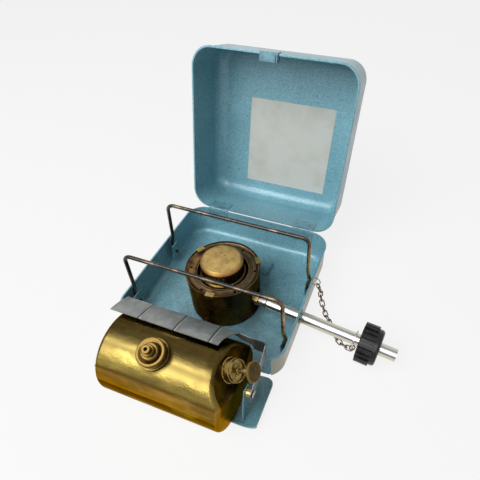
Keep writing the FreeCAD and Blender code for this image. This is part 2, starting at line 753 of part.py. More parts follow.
def make_hoop(label, pivot, lean):
    """A wire hoop: feet turned inward through the clips, legs splayed, bar on top."""
    foot, kink, half, tall = mm("hoop_foot"), mm("hoop_kink"), mm("hoop_half"), mm("hoop_tall")
    tip = mm("clip_inner") - 1.8
    side = [Vector(tip, 0, 0), Vector(foot, 0, 0), Vector(foot, 0, 13), Vector(kink, 0, 25),
            Vector(half, 0, tall)]
    mirrored = [Vector(-point.x, 0, point.z) for point in side]
    points = mirrored + side[::-1]
    bends = [2.4, 12, 12, 8.5, 8.5, 12, 12, 2.4]
    shape = bent_rod(points, bends, mm("wire_radius"))
    place = Placement(Vector(0, mm(pivot), mm("hoop_pivot_up")), Rotation(X_AXIS, -mm(lean)))
    part(shaped(label, shape), label, place)


# ------------------------------------------------------- tank and pump


def end_block(name, radius, left, right, lower, round_edge):
    """A solid end of the tank, with the pump's sloping seat sunk in it and a rounded rim."""
    block = cylinder(name + "_block", radius, "(%s) - (%s)" % (right, left),
                     Placement(Vector(0, mm("tank_front"), mm("tank_up")), ALONG_X))
    block.setExpression("Placement.Base.x", left)
    seat = turned(name + "_seat", [
        ("0", "0 - " + lower), ("Dims.seat_radius", "0 - " + lower),
        ("Dims.seat_reach", "Dims.seat_rise - " + lower),
        ("Dims.seat_reach", "40"), ("0", "40")])
    doc.recompute()
    floor = seat.Shape.BoundBox.ZMin
    fillet(seat, lambda e: ring_at(e, mm("seat_radius"), floor), "Dims.seat_round",
           name + "_seat_round")
    seat.Placement = seat_frame
    sunk = cut(name + "_sunk", block, seat)
    doc.recompute()
    box = sunk.Shape.BoundBox
    size = block.Radius.Value

    def on_rim_or_face(edge):
        """True for the edges that bound the barrel's outside or the flat end."""
        first, last = edge.FirstParameter, edge.LastParameter
        points = [edge.valueAt(first + (last - first) * share) for share in (0.25, 0.5, 0.75)]
        away = [math.hypot(point.y - mm("tank_front"), point.z - mm("tank_up")) for point in points]
        on_barrel = all(abs(radius - size) < 0.01 for radius in away)
        on_face = all(abs(point.x - box.XMax) < 0.01 for point in points)
        return (on_barrel or on_face) and edge.BoundBox.XMin > box.XMin + 0.01

    return rounded(name, sunk, round_edge, on_rim_or_face)


def make_tank():
    """The drawn shell and its pressed end, soldered over a spigot."""
    seam = "Dims.tank_seam - Dims.tank_left"
    outer, wall = "Dims.tank_radius", "Dims.tank_wall"
    can = rod("can_outside", outer, "0", seam)
    fillet(can, lambda e: ring_at(e, mm("tank_radius"), 0), "Dims.tank_round", "can_round")
    room = rod("can_inside", "%s - %s" % (outer, wall), wall, seam + " + 5")
    fillet(room, lambda e: ring_at(e, mm("tank_radius") - mm("tank_wall"), mm("tank_wall")),
           "Dims.tank_round - Dims.tank_wall", "can_inner_round")
    for body in (can, room):
        body.Placement = tank_frame
    neck_hole = cylinder("neck_hole", "Dims.neck_radius", "20",
                         filler_frame * Placement(Vector(0, 0, 30), NO_TURN))
    pipe_hole = cylinder("pipe_hole", "Dims.pipe_radius", "70", pipe_frame(30))
    part(cut("tank_shell", can, room, neck_hole, pipe_hole), "tank_shell")
    outside = end_block("end_outside", outer, "Dims.tank_seam", "Dims.tank_right", "0",
                        mm("tank_round"))
    spigot = tube("end_spigot", "%s - %s - 0.02" % (outer, wall), "%s - 2 * %s" % (outer, wall),
                  seam + " - 5", seam + " + 1")
    spigot.Placement = tank_frame
    inside = end_block("end_inside", "%s - 2 * %s" % (outer, wall), "Dims.tank_seam - 1",
                       "Dims.tank_right - " + wall, wall, mm("tank_round") - mm("tank_wall"))
    boss_hole = cylinder("boss_hole", "Dims.boss_radius", "40",
                         pump_frame * Placement(Vector(0, 0, -20), NO_TURN))
    hollow = cut("end_hollow", outside, inside)
    part(cut("tank_end", fuse("end_joined", [hollow, spigot]), boss_hole), "tank_end")


def pipe_frame(start):
    """The fuel pipe's frame: from the burner's axis towards the tank."""
    turn = Rotation(X_AXIS, 90)
    return burner_frame * Placement(Vector(0, 0, mm("pipe_up")), turn) * Placement(
        Vector(0, 0, start), NO_TURN)


def make_filler():
    """The soldered neck, the gasket and the cap with its safety-valve nose."""
    flange = cylinder("neck_flange", "Dims.saddle_radius", "6",
                      filler_frame * Placement(Vector(0, 0, 36), NO_TURN))
    tank = cylinder("neck_tank", "Dims.tank_radius", "Dims.tank_right - Dims.tank_left", tank_frame)
    pipe = cylinder("neck_pipe", "Dims.neck_radius", "8",
                    filler_frame * Placement(Vector(0, 0, 34.6), NO_TURN))
    bore = cylinder("neck_opening", "Dims.neck_bore", "12",
                    filler_frame * Placement(Vector(0, 0, 32), NO_TURN))
    saddle = cut("neck_saddle", flange, tank)
    part(cut("filler_neck", fuse("neck_joined", [saddle, pipe]), bore), "filler_neck")
    part(tube("filler_gasket", "Dims.neck_radius - 0.2", "Dims.neck_bore", "42.65", "43.55"),
         "filler_gasket", filler_frame)
    rim = "Dims.filler_radius"
    plug = "Dims.neck_bore - 0.08"
    cap = turned("filler_cap", [
        ("0", "36"), (plug, "36"), (plug, "43.6"), (rim, "43.6"), (rim, "48"),
        (rim + " - 0.8", "48.8"), (rim + " - 2.4", "48.8"), ("7.4", "47.9"), ("7.4", "50.4"),
        ("6.6", "51"), ("5.2", "51"), ("5.2", "54"), ("4.7", "54.5"), ("3.7", "54.5"),
        ("3.7", "57.6"), ("3.2", "58"), ("1.6", "58"), ("1.6", "50"), ("0", "50")])
    part(cap, "filler_cap", filler_frame)


def make_pump():
    """The slanting pump: barrel, boss, cap, rod, button, leather and check valve."""
    barrel = "Dims.barrel_radius"
    bore = "Dims.barrel_bore"
    rod_bore = "Dims.rod_radius + 0.06"
    part(turned("pump_barrel", [
        (bore, "-Dims.barrel_long"), (barrel, "-Dims.barrel_long"), (barrel, "8.6"), (bore, "8.6")]),
         "pump_barrel", pump_frame)
    boss = "Dims.boss_radius"
    part(turned("pump_boss", [
        (barrel, "-8"), (boss, "-8"), (boss, "1.6"), (boss + " + 0.7", "1.9"),
        (boss + " + 0.7", "2.7"), (boss, "3.1"), (boss, "8"), (boss + " - 0.6", "8.6"),
        (barrel, "8.6")]), "pump_boss", pump_frame)
    part(turned("pump_cap", [
        (rod_bore, "8.6"), ("9.3", "8.6"), ("9.9", "9.2"), ("9.9", "11"), ("9.4", "11.5"),
        ("8.6", "11.2"), ("8.2", "9.8"), ("4.2", "9.8"), ("3.4", "10.2"), ("3.2", "11.8"),
        ("2.8", "12.2"), (rod_bore, "12.2")]), "pump_cap", pump_frame)
    part(turned("check_valve", [
        ("1", "-Dims.barrel_long"), (bore, "-Dims.barrel_long"), (bore, "8 - Dims.barrel_long"),
        ("2.5", "8 - Dims.barrel_long"), ("2.5", "4 - Dims.barrel_long"),
        ("1", "4 - Dims.barrel_long")]), "check_valve", pump_frame)
    low = "Dims.leather_in"
    rod_long = "Dims.button_out"
    part(turned("pump_rod", [
        ("0", low + " - 3"), ("3.4", low + " - 3"), ("3.4", low), ("Dims.rod_radius", low),
        ("Dims.rod_radius", rod_long), ("0", rod_long)]), "pump_rod", pump_frame)
    part(turned("pump_leather", [
        ("Dims.rod_radius", low), (bore + " - 0.1", low), (bore + " - 0.1", low + " + 8"),
        (bore + " - 1.1", low + " + 8"), (bore + " - 1.1", low + " + 1.2"),
        ("Dims.rod_radius", low + " + 1.2")]), "pump_leather", pump_frame)
    button = turned("pump_button", [
        ("0", rod_long), ("Dims.button_radius - 0.6", rod_long),
        ("Dims.button_radius", rod_long + " + 0.6"), ("Dims.button_radius", rod_long + " + 1.8"),
        ("Dims.button_radius - 0.8", rod_long + " + 2.4"), ("0", rod_long + " + 2.6")])
    part(button, "pump_button", pump_frame)


def make_pickup():
    """The tube that draws fuel from the bottom of the tank."""
    frame = pipe_frame(0)
    start = 92.2
    points = [Vector(0, 0, start), Vector(0, 0, start + 14), Vector(0, -7.6, start + 14)]
    shape = bent_rod(points, [6], mm("pipe_radius") - 0.8)
    part(shaped("pickup_tube", shape), "pickup_tube", frame)


# -------------------------------------------------------------- shield


def shield_sheet():
    """A stretch of a wide cylinder, its right end scooped out in a curve."""
    centre = Vector(0, mm("shield_centre"), mm("shield_centre_up"))
    end = mm("shield_start") + mm("shield_sweep")
    place = Placement(centre + Vector(mm("shield_left"), 0, 0), ALONG_X) * Placement(
        Vector(), Rotation(Z_AXIS, 180 - end))
    long = "Dims.shield_right - Dims.shield_left"
    outer = cylinder("sheet_outer", "Dims.shield_radius + Dims.shield_thick", long, place)
    inner = cylinder("sheet_inner", "Dims.shield_radius", long, place)
    outer.setExpression("Angle", "Dims.shield_sweep")
    scoop = cylinder("sheet_scoop", "Dims.scoop_radius", "90",
                     Placement(Vector(mm("scoop_across"), mm("scoop_front"), 40), NO_TURN))
    return cut("shield_sheet", outer, inner, scoop)


def shield_flange():
    """The strip that turns down from the sheet's back edge and runs past the tank's end."""
    body = new_body("shield_flange")
    sketch = new_sketch(body, "flange_outline", "XZ_Plane", "-Dims.flange_back")
    corner = "Dims.arm_across + Dims.shield_thick - Dims.flange_bend"
    polygon(sketch, [
        ("46", "70.2"), ("45.6", "66.4"), ("56", "60.4"), ("64.2", "57.5"),
        ("65.8", "Dims.flange_low + 0.6"), (corner, "Dims.flange_low"), (corner, "Dims.flange_top"),
        ("60", "Dims.flange_top + 0.6"), ("53", "70")])
    pad(body, sketch, "Dims.shield_thick")
    return body


def shield_corner():
    """The quarter bend between the flange and the arm."""
    bend = mm("flange_bend")
    centre = Vector(mm("arm_across") + mm("shield_thick") - bend, mm("flange_back") - bend,
                    mm("flange_low"))
    tall = "Dims.flange_top - Dims.flange_low"
    outer = cylinder("corner_outer", "Dims.flange_bend", tall, Placement(centre, NO_TURN))
    inner = cylinder("corner_inner", "Dims.flange_bend - Dims.shield_thick", tall,
                     Placement(centre, NO_TURN))
    outer.setExpression("Angle", "90")
    return cut("shield_corner", outer, inner)


def shield_arm():
    """The tapering arm that runs forward from the bend and down to the rivet."""
    body = new_body("shield_arm")
    sketch = new_sketch(body, "arm_outline", "YZ_Plane", "Dims.arm_across")
    back = "Dims.flange_back - Dims.flange_bend"
    polygon(sketch, [
        (back, "Dims.flange_top"), (back, "Dims.flange_low"), ("-97", "49.2"), ("-102", "47.2"),
        ("-117.5", "35.4"), ("-123.8", "32.9"), ("-129.4", "35"), ("-131.2", "40.4"),
        ("-128.2", "45.6"), ("-119", "49.8"), ("-103.3", "58.4")])
    pad(body, sketch, "Dims.shield_thick")
    return body


def make_shield():
    """A bent aluminium sheet over the tank's back, on an arm that pivots on the rivet."""
    axis = Vector(0, mm("tank_front"), mm("tank_up"))
    hole = cylinder("shield_hole", "Dims.rivet_radius + 0.06", "10",
                    Placement(axis + Vector(mm("arm_across") - 4, 0, 0), ALONG_X))
    strips = [shield_sheet(), shield_flange(), shield_corner(), shield_arm()]
    part(cut("heat_shield", fuse("shield_strips", strips), hole), "heat_shield")
    start = "Dims.stay_across"
    end = "Dims.arm_across + Dims.shield_thick"
    body = turned("shield_rivet", [
        ("0.7", start + " - 1"), ("3", start + " - 1"), ("3", start), ("Dims.rivet_radius", start),
        ("Dims.rivet_radius", end + " + 0.2"), ("3", end + " + 0.2"), ("3.6", end + " + 0.8"),
        ("3.2", end + " + 1.4"), ("1.8", end + " + 1.4"), ("0.7", end + " + 0.4")])
    part(body, "shield_rivet", Placement(axis, ALONG_X))
    part(tube("rivet_washer", "4.2", "Dims.rivet_radius", start + " + 0.9",
              "Dims.arm_across - 0.2"), "rivet_washer", Placement(axis, ALONG_X))


# -------------------------------------------------------------- burner


def make_cup():
    """The wind cup round the burner: floor, slot for the valve, hole for the fuel pipe."""
    outer, wall = "Dims.cup_radius", "Dims.cup_wall"
    low, top = "Dims.cup_bottom", "Dims.cup_top"
    inner = "%s - %s" % (outer, wall)
    body = turned("cup_can", [
        ("9", low), (outer + " - 1.5", low), (outer + " - 0.4", low + " + 2"),
        (outer + " - 0.4", top + " - 3"), (outer + " + 0.4", top + " - 2"), (outer + " + 0.4", top),
        (inner, top), (inner, low + " + 2"), (outer + " - 2", "%s + %s" % (low, wall)),
        ("9", "%s + %s" % (low, wall))])
    slot = new_sketch(body, "cup_slot", "YZ_Plane", "20")
    half = "Dims.slot_width / 2"
    bottom = "%s + %s + 1.4" % (low, wall)
    polygon(slot, [("-" + half, bottom), (half, bottom), (half, "Dims.slot_top"),
                   ("-" + half, "Dims.slot_top")])
    pocket(body, slot, "40", True)
    hole = new_sketch(body, "cup_hole", "XZ_Plane", "20")
    circle(hole, "Dims.pipe_radius + 0.8", "0", "Dims.pipe_up")
    pocket(body, hole, "40", True)
    part(body, "wind_cup", burner_frame)


def make_ring_plate():
    """The plate inside the rim, with a rolled bead and a ring of air holes."""
    up = "Dims.plate_up"
    inner = "Dims.plate_inner"
    outer = "Dims.cup_radius - Dims.cup_wall - 0.05"
    body = turned("plate_blank", [
        (inner, up), (inner + " + 1", up), (inner + " + 2", up + " + 1.2"),
        (inner + " + 3", up + " + 1.2"), (inner + " + 4", up), (outer + " - 2", up),
        (outer, up + " + 1.4"), (outer, up + " + 2.2"), (outer + " - 2.4", up + " + 0.8"),
        (inner + " + 4.4", up + " + 0.8"), (inner + " + 3.4", up + " + 2"),
        (inner + " + 1.6", up + " + 2"), (inner + " + 0.6", up + " + 0.8"), (inner, up + " + 0.8")])
    hole = new_sketch(body, "plate_hole", "XY_Plane", up + " + 4")
    circle(hole, "1.5", inner + " + 6.6")
    feature = pocket(body, hole, "8")
    pattern = body.newObject("PartDesign::PolarPattern", "plate_holes")
    pattern.Originals = [feature]
    pattern.Axis = (hole, ["N_Axis"])
    pattern.Angle = 360
    pattern.Occurrences = 6
    body.Tip = pattern
    doc.recompute()
    part(body, "ring_plate", burner_frame * Placement(Vector(), Rotation(Z_AXIS, 22)))


def make_tabs():
    """Three folded brass tabs that hold the ring plate to the cup's rim."""
    tabs = []
    for k, angle in enumerate((35, 155, 275)):
        frame = Placement(Vector(mm("burner_across"), mm("burner_back"), 0), Rotation(Z_AXIS, angle))
        over = frame * Placement(Vector(mm("cup_radius") - 4.2, -4.5, mm("cup_top") + 0.02), NO_TURN)
        down = frame * Placement(Vector(mm("cup_radius") + 0.72, -4.5, mm("cup_top") - 2.88), NO_TURN)
        tabs.append(plate("tab_over_%d" % k, "5", "9", "0.5", over))
        tabs.append(plate("tab_down_%d" % k, "0.5", "9", "3.4", down))
    part(fuse("rim_tabs", tabs), "rim_tabs")


def make_burner():
    """The brass burner: stem with valve branch, nipple, bell, flame ring, cap, priming cup."""
    stem = rod("stem_bar", "6", "Dims.cup_bottom + Dims.cup_wall + 4.5", "34")
    branch = cylinder("stem_branch", "4.6", "Dims.nut_start", key_frame)
    stem.Placement = burner_frame
    spindle_bore = cylinder("stem_spindle_bore", "Dims.spindle_radius + 0.08",
                            "Dims.nut_start + 20", key_frame)
    inlet = cylinder("stem_inlet", "Dims.pipe_radius", "20", pipe_frame(4))
    jet_bore = cylinder("stem_jet_bore", "2.2", "10",
                        burner_frame * Placement(Vector(0, 0, 31), NO_TURN))
    joined = fuse("stem_joined", [stem, branch])
    part(cut("burner_body", joined, spindle_bore, inlet, jet_bore), "burner_body")
    part(turned("nipple", [
        ("0.5", "31"), ("2.2", "31"), ("2.2", "34"), ("3.4", "34"), ("3.4", "36"), ("1.2", "38.4"),
        ("0.5", "38.4")]), "nipple", burner_frame)
    part(turned("burner_bell", [
        ("6", "33"), ("7.4", "33"), ("7.4", "39"), ("24.6", "47.4"), ("24.6", "49"), ("23.2", "49"),
        ("23.2", "48.2"), ("6", "40")]), "burner_bell", burner_frame)
    make_flame_ring()
    up = "Dims.cap_up"
    cap = turned("burner_cap", [
        ("0", up + " + 3.4"), ("Dims.cap_radius - 3", up + " + 3"), ("Dims.cap_radius", up),
        ("Dims.cap_radius", up + " - 1.5"), ("Dims.cap_radius - 1.2", up + " - 1.5"),
        ("Dims.cap_radius - 1.2", up), ("Dims.cap_radius - 3.6", up + " + 1.9"),
        ("0", up + " + 2.3")])
    part(cap, "burner_cap", burner_frame)
    low = "Dims.cup_bottom + Dims.cup_wall"
    part(turned("priming_cup", [
        ("9", low), ("22", low), ("24", low + " + 6"), ("23.2", low + " + 6"), ("21.4", low + " + 0.8"),
        ("10", low + " + 0.8"), ("10", low + " + 4.4"), ("9", low + " + 4.4")]),
         "priming_cup", burner_frame)


def make_flame_ring():
    """The fluted ring between bell and cap; each slot lets a jet of flame out."""
    radius = "Dims.flame_radius"
    body = turned("flame_blank", [
        (radius + " - 2", "49"), (radius + " + 1.6", "49"), (radius + " + 1.6", "50.5"),
        (radius, "51.5"), (radius, "Dims.cap_up - 1.6"), (radius + " - 2", "Dims.cap_up - 1.6")])
    slot = new_sketch(body, "flame_slot", "YZ_Plane", "15")
    polygon(slot, [("-0.65", "53"), ("0.65", "53"), ("0.65", "Dims.cap_up - 2.6"),
                   ("-0.65", "Dims.cap_up - 2.6")])
    feature = pocket(body, slot, "20", True)
    pattern = body.newObject("PartDesign::PolarPattern", "flame_slots")
    pattern.Originals = [feature]
    axis_plane = [item for item in body.Origin.OriginFeatures if item.Role == "Z_Axis"][0]
    pattern.Axis = (axis_plane, [""])
    pattern.Angle = 360
    pattern.Occurrences = 40
    body.Tip = pattern
    doc.recompute()
    part(body, "flame_ring", burner_frame)


def make_fuel_pipe():
    """The pipe from the tank to the burner, with the union nut at the tank."""
    part(tube("fuel_pipe", "Dims.pipe_radius", "Dims.pipe_radius - 1", "4.2", "92"),
         "fuel_pipe", pipe_frame(0))
    part(hexagon("pipe_nut", "12", "Dims.pipe_radius", "64", "72"), "pipe_nut", pipe_frame(0))


# ----------------------------------------------------------------- key


def make_valve():
    """The gland nut and the valve spindle with its square end."""
    part(hexagon("gland_nut", "11", "Dims.spindle_radius + 0.08", "Dims.nut_start", "43.4"),
         "gland_nut", key_frame)
    body = turned("spindle_bar", [
        ("0", "7"), ("0.8", "7"), ("Dims.spindle_radius", "9"), ("Dims.spindle_radius", "44.6"),
        ("0", "44.6")])
    corner = Placement(Vector(-1.5, -1.5, 44), NO_TURN)
    square = plate("spindle_square", "3", "3", "8", corner)
    part(fuse("valve_spindle", [body, square]), "valve_spindle", key_frame)


def make_key():
    """The key: square socket, chromed tube and ribbed knob, with a loose chain collar."""
    outer, bore = "Dims.tube_radius", "Dims.tube_bore"
    start = "Dims.tube_start"
    blank = turned("socket_blank", [
        ("2.3", "Dims.socket_start"), ("5.6", "Dims.socket_start"), ("5.6", start + " - 1.6"),
        ("5.0", start + " - 1.2"), ("5.0", start + " - 0.6"), ("5.6", start + " - 0.2"),
        ("5.6", start), (bore + " - 0.02", start), (bore + " - 0.02", start + " + 12"),
        ("2.3", start + " + 12")])
    part(blank, "key_socket", key_frame)
    part(turned("key_tube", [
        (bore, start + " + 0.1"), (outer, start + " + 0.1"),
        (outer, "Dims.tube_end"), (bore, "Dims.tube_end")]), "key_tube", key_frame)
    make_knob()
    collar = tube("collar_ring", "9", outer + " + 0.12", "150.2", "151.4")
    ear = new_sketch(collar, "collar_ear", "XY_Plane", "150.2")
    polygon(ear, [("7.6", "-3.4"), ("15.8", "-3.4"), ("15.8", "3.4"), ("7.6", "3.4")])
    pad(collar, ear, "1.2")
    eye = new_sketch(collar, "collar_eye", "XY_Plane", "153")
    circle(eye, "Dims.eye_radius", "Dims.eye_out")
    pocket(collar, eye, "6")
    part(collar, "chain_collar", key_frame)


def make_knob():
    """The moulded knob: raised ribs for the grip and a smooth band on its outer side."""
    grip, start = "Dims.knob_radius", "Dims.knob_start"
    end = "Dims.knob_start + Dims.knob_long"
    body = turned("knob_blank", [
        ("Dims.tube_radius", start), (grip + " - 0.8", start), (grip, start + " + 0.8"),
        (grip, end + " - 2.6"), (grip + " - 0.7", end + " - 0.9"), (grip + " - 2.4", end),
        ("Dims.tube_radius + 5", end), ("Dims.tube_radius + 3.4", end + " - 1.6"),
        ("Dims.tube_radius", end + " - 1.6")])
    rib = new_sketch(body, "knob_rib", "XY_Plane", start + " + 0.3")
    top = "%s + Dims.rib_tall" % grip
    polygon(rib, [(grip + " - 1", "-1.5"), (top, "-1.1"), (top, "1.1"), (grip + " - 1", "1.5")])
    feature = pad(body, rib, "Dims.rib_long")
    pattern = body.newObject("PartDesign::PolarPattern", "knob_ribs")
    pattern.Originals = [feature]
    axis_plane = [item for item in body.Origin.OriginFeatures if item.Role == "Z_Axis"][0]
    pattern.Axis = (axis_plane, [""])
    pattern.Angle = 360
    pattern.Occurrences = 20
    body.Tip = pattern
    doc.recompute()
    part(body, "key_knob", key_frame)


# --------------------------------------------------------------- chain


def link():
    """One oval link about the origin, its long way along X, its flat in XY."""
    wire = mm("link_wire")
    bend = mm("link_wide") / 2 - wire
    half = mm("link_long") / 2 - mm("link_wide") / 2
    left = Part.makeTorus(bend, wire, Vector(-half, 0, 0), Z_AXIS, -180, 180, 180)
    left.rotate(Vector(-half, 0, 0), Z_AXIS, 90)
    right = Part.makeTorus(bend, wire, Vector(half, 0, 0), Z_AXIS, -180, 180, 180)
    right.rotate(Vector(half, 0, 0), Z_AXIS, -90)
    bars = [Part.makeCylinder(wire, 2 * half, Vector(-half, side * bend, 0), X_AXIS)
            for side in (-1, 1)]
    return left.multiFuse([right] + bars).removeSplitter()


def chain_route():
    """The slack run from the ring's outer side down to the table and up to the collar's eye."""
    down = math.radians(60)
    reach = mm("ring_radius") - 0.45
    start = Vector(mm("ring_across") + reach * math.cos(down), mm("ring_back"),
                   mm("ring_up") - reach * math.sin(down))
    eye = key_frame.multVec(Vector(mm("eye_out"), 0, 150.8))
    return [start, Vector(99.6, 18.6, 26), Vector(101.6, 18.2, 15), Vector(105.6, 14, 6.4),
            Vector(111, 6.5, 2.8), Vector(117.5, -1.6, 2.7), Vector(123.8, -11.6, 2.7),
            Vector(129.8, -20, 2.7), Vector(139.5, -26.4, 3), eye - Vector(1.2, 0, 7.4),
            eye - Vector(0, 0, 0.9)]


def make_chain():
    """Oval links, every other one turned a quarter, and the ring through the tray's wall."""
    curve = Part.BSplineCurve()
    curve.interpolate(chain_route())
    pitch = mm("link_long") - 4 * mm("link_wire") - 0.2
    count = 2 * math.ceil(curve.length() / pitch / 2)
    marks = curve.discretize(Number=count + 1)
    links = []
    for k, (start, end) in enumerate(zip(marks, marks[1:])):
        piece = link()
        lean = 45 if 0 < k < count - 1 else 0
        turn = Rotation(X_AXIS, end - start) * Rotation(X_AXIS, lean + 90 * (k % 2))
        piece.Placement = Placement((start + end) * 0.5, turn)
        links.append(piece)
    part(shaped("key_chain", Part.makeCompound(links)), "key_chain")
    ring = doc.addObject("Part::Torus", "chain_ring")
    ring.setExpression("Radius1", "Dims.ring_radius")
    ring.setExpression("Radius2", "Dims.ring_wire")
    part(ring, "chain_ring", Placement(
        Vector(mm("ring_across"), mm("ring_back"), mm("ring_up")), Rotation(X_AXIS, 90)))
    print("chain", count, "links, pitch", round(curve.length() / count, 2))


make_tray()
make_lid()
make_hinge()
make_lid_catch()
make_label()
make_flap()
make_stay()
make_floor_tab()
make_clips()
make_hoop("support_front", "front_pivot", "front_lean")
make_hoop("support_back", "back_pivot", "back_lean")
make_tank()
make_filler()
make_pump()
make_pickup()
make_shield()
make_cup()
make_ring_plate()
make_tabs()
make_burner()
make_fuel_pipe()
make_valve()
make_key()
make_chain()
doc.recompute()

stuck = [item.Name for item in doc.Objects if "Invalid" in item.State or "Error" in item.State]
if stuck:
    raise RuntimeError("these did not recompute: " + ", ".join(stuck))
for made in parts:
    if made.Shape.isNull() or not made.Shape.isValid():
        raise RuntimeError("%s has no valid shape" % made.Label)

os.makedirs("parts", exist_ok=True)
for made in parts:
    made.Shape.exportStep("parts/%s.step" % made.Label)
    print(made.Label, round(made.Shape.Volume, 1), len(made.Shape.Solids))
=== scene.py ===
import math

import bmesh
import bpy
from mathutils import Matrix, Vector


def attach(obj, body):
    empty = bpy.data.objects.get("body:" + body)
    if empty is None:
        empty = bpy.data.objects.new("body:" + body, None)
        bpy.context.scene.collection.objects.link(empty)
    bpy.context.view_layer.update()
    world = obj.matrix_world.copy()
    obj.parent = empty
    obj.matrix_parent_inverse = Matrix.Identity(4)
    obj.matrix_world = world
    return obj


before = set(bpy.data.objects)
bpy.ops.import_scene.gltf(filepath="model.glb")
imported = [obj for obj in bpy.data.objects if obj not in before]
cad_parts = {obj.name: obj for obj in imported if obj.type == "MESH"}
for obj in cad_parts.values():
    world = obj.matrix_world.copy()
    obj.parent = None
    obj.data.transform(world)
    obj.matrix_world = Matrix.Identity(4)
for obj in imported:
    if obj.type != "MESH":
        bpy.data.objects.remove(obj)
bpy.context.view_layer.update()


# Pressed steel case: tray, lid and flap, sprayed in one blue metallic enamel and stoved.
# Use has chipped and scratched it and smoked the floor round the burner. Low on the right
# wall's outer face a warm yellow-brown reflection of the table is painted into the colour.
enamel_blue = (0.24, 0.49, 0.575)
enamel_deep = (0.085, 0.22, 0.275)
scratch_pale = (0.4, 0.5, 0.54)
chip_brown = (0.018, 0.016, 0.014)
smoke_brown = (0.075, 0.09, 0.088)
table_reflection_beige = (0.52, 0.40, 0.17)
flake_size = 0.0016
flake_depth = 0.00006
smoke_reach = (0.045, 0.105)
reflection_way = (0.94, -0.34, 0)
reflection_start = (0.055, 0.07)
reflection_top = (0.0375, 0.032)


def middle(name):
    """The middle of the box round a piece of the frame."""
    places = [vertex.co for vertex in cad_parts[name].data.vertices]
    return Vector([(min(axis) + max(axis)) / 2 for axis in zip(*places)])


def shader_of(finish):
    return finish.node_tree.nodes["Principled BSDF"]


def new_finish(name, colour, metallic, roughness, more=None):
    """A material with its plain shader values set, and more of them by socket name."""
    finish = bpy.data.materials.new(name)
    finish.use_nodes = True
    shader = shader_of(finish)
    shader.inputs["Base Color"].default_value = (*colour, 1)
    shader.inputs["Metallic"].default_value = metallic
    shader.inputs["Roughness"].default_value = roughness
    for socket, value in (more or {}).items():
        shader.inputs[socket].default_value = value
    return finish


def add(finish, kind, values=None):
    """One more node with its input values set by socket name."""
    node = finish.node_tree.nodes.new("ShaderNode" + kind)
    for socket, value in (values or {}).items():
        node.inputs[socket].default_value = value
    return node


def join(finish, source, target):
    finish.node_tree.links.new(source, target)


def vector_step(finish, kind, source, value=None):
    """One step of vector arithmetic between a vector and a fixed value."""
    step = add(finish, "VectorMath")
    step.operation = kind
    join(finish, source, step.inputs[0])
    if value is not None:
        step.inputs[1].default_value = value
    return step


def times(finish, one, other, kind="MULTIPLY"):
    """Two shares put together by one step of arithmetic."""
    step = add(finish, "Math")
    step.operation = kind
    for socket, value in ((step.inputs[0], one), (step.inputs[1], other)):
        if isinstance(value, (int, float)):
            socket.default_value = value
        else:
            join(finish, value, socket)
    return step.outputs[0]


def between(finish, source, start, stop):
    """0 where a value is at the start and 1 where it is at the stop."""
    level = add(finish, "MapRange", {"From Min": start, "From Max": stop})
    join(finish, source, level.inputs["Value"])
    return level.outputs["Result"]


def stretched(finish, stretch=(1, 1, 1), centre=(0, 0, 0)):
    """Object coordinates measured from a centre, each axis scaled to stretch a pattern."""
    place = add(finish, "TexCoord").outputs["Object"]
    shift = vector_step(finish, "SUBTRACT", place, centre)
    return vector_step(finish, "MULTIPLY", shift.outputs[0], stretch).outputs[0]


def mottle(finish, size, low, high, stretch=(1, 1, 1), detail=4):
    """Cloudy patches about size metres wide, 0 below one noise level and 1 above another."""
    noise = add(finish, "TexNoise", {"Scale": 1 / size, "Detail": detail, "Roughness": 0.62})
    join(finish, stretched(finish, stretch), noise.inputs["Vector"])
    return between(finish, noise.outputs[0], low, high)


def near(finish, centre, reach, fade, flat=(1, 1, 1)):
    """1 inside a reach of a centre and 0 beyond the fade; flat leaves out an axis."""
    length = vector_step(finish, "LENGTH", stretched(finish, flat, centre))
    return between(finish, length.outputs["Value"], fade, reach)


def past(finish, way, start, stop):
    """0 before one place along a direction and 1 beyond another."""
    reach = vector_step(finish, "DOT_PRODUCT", stretched(finish), way)
    return between(finish, reach.outputs["Value"], start, stop)


def facing(finish, way, start, stop):
    """0 where the surface faces away from a direction and 1 where it faces along it."""
    normal = add(finish, "TexCoord").outputs["Normal"]
    turned = vector_step(finish, "DOT_PRODUCT", normal, way)
    return between(finish, turned.outputs["Value"], start, stop)


def shade(finish, share, under, over, amount=1):
    """The under colour, covered up to an amount by the over colour where share is 1."""
    mix = add(finish, "Mix")
    mix.data_type = "RGBA"
    join(finish, times(finish, share, amount), mix.inputs[0])
    for socket, colour in ((mix.inputs[6], under), (mix.inputs[7], over)):
        if isinstance(colour, tuple):
            socket.default_value = (*colour, 1)
        else:
            join(finish, colour, socket)
    return mix.outputs[2]


def colour_with(finish, colour):
    join(finish, colour, shader_of(finish).inputs["Base Color"])


def roughen(finish, share, smooth, rough):
    """Roughness between two values, by a share."""
    level = add(finish, "MapRange", {"To Min": smooth, "To Max": rough})
    join(finish, share, level.inputs["Value"])
    join(finish, level.outputs["Result"], shader_of(finish).inputs["Roughness"])


def relief(finish, height, depth):
    """Raised and sunken detail of that depth in metres."""
    bump = add(finish, "Bump", {"Strength": 0.8, "Distance": depth})
    join(finish, height, bump.inputs["Height"])
    join(finish, bump.outputs[0], shader_of(finish).inputs["Normal"])


def dress(finish, *names):
    """Gives pieces of the frame their finish."""
    for name in names:
        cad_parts[name].material_slots[0].material = finish


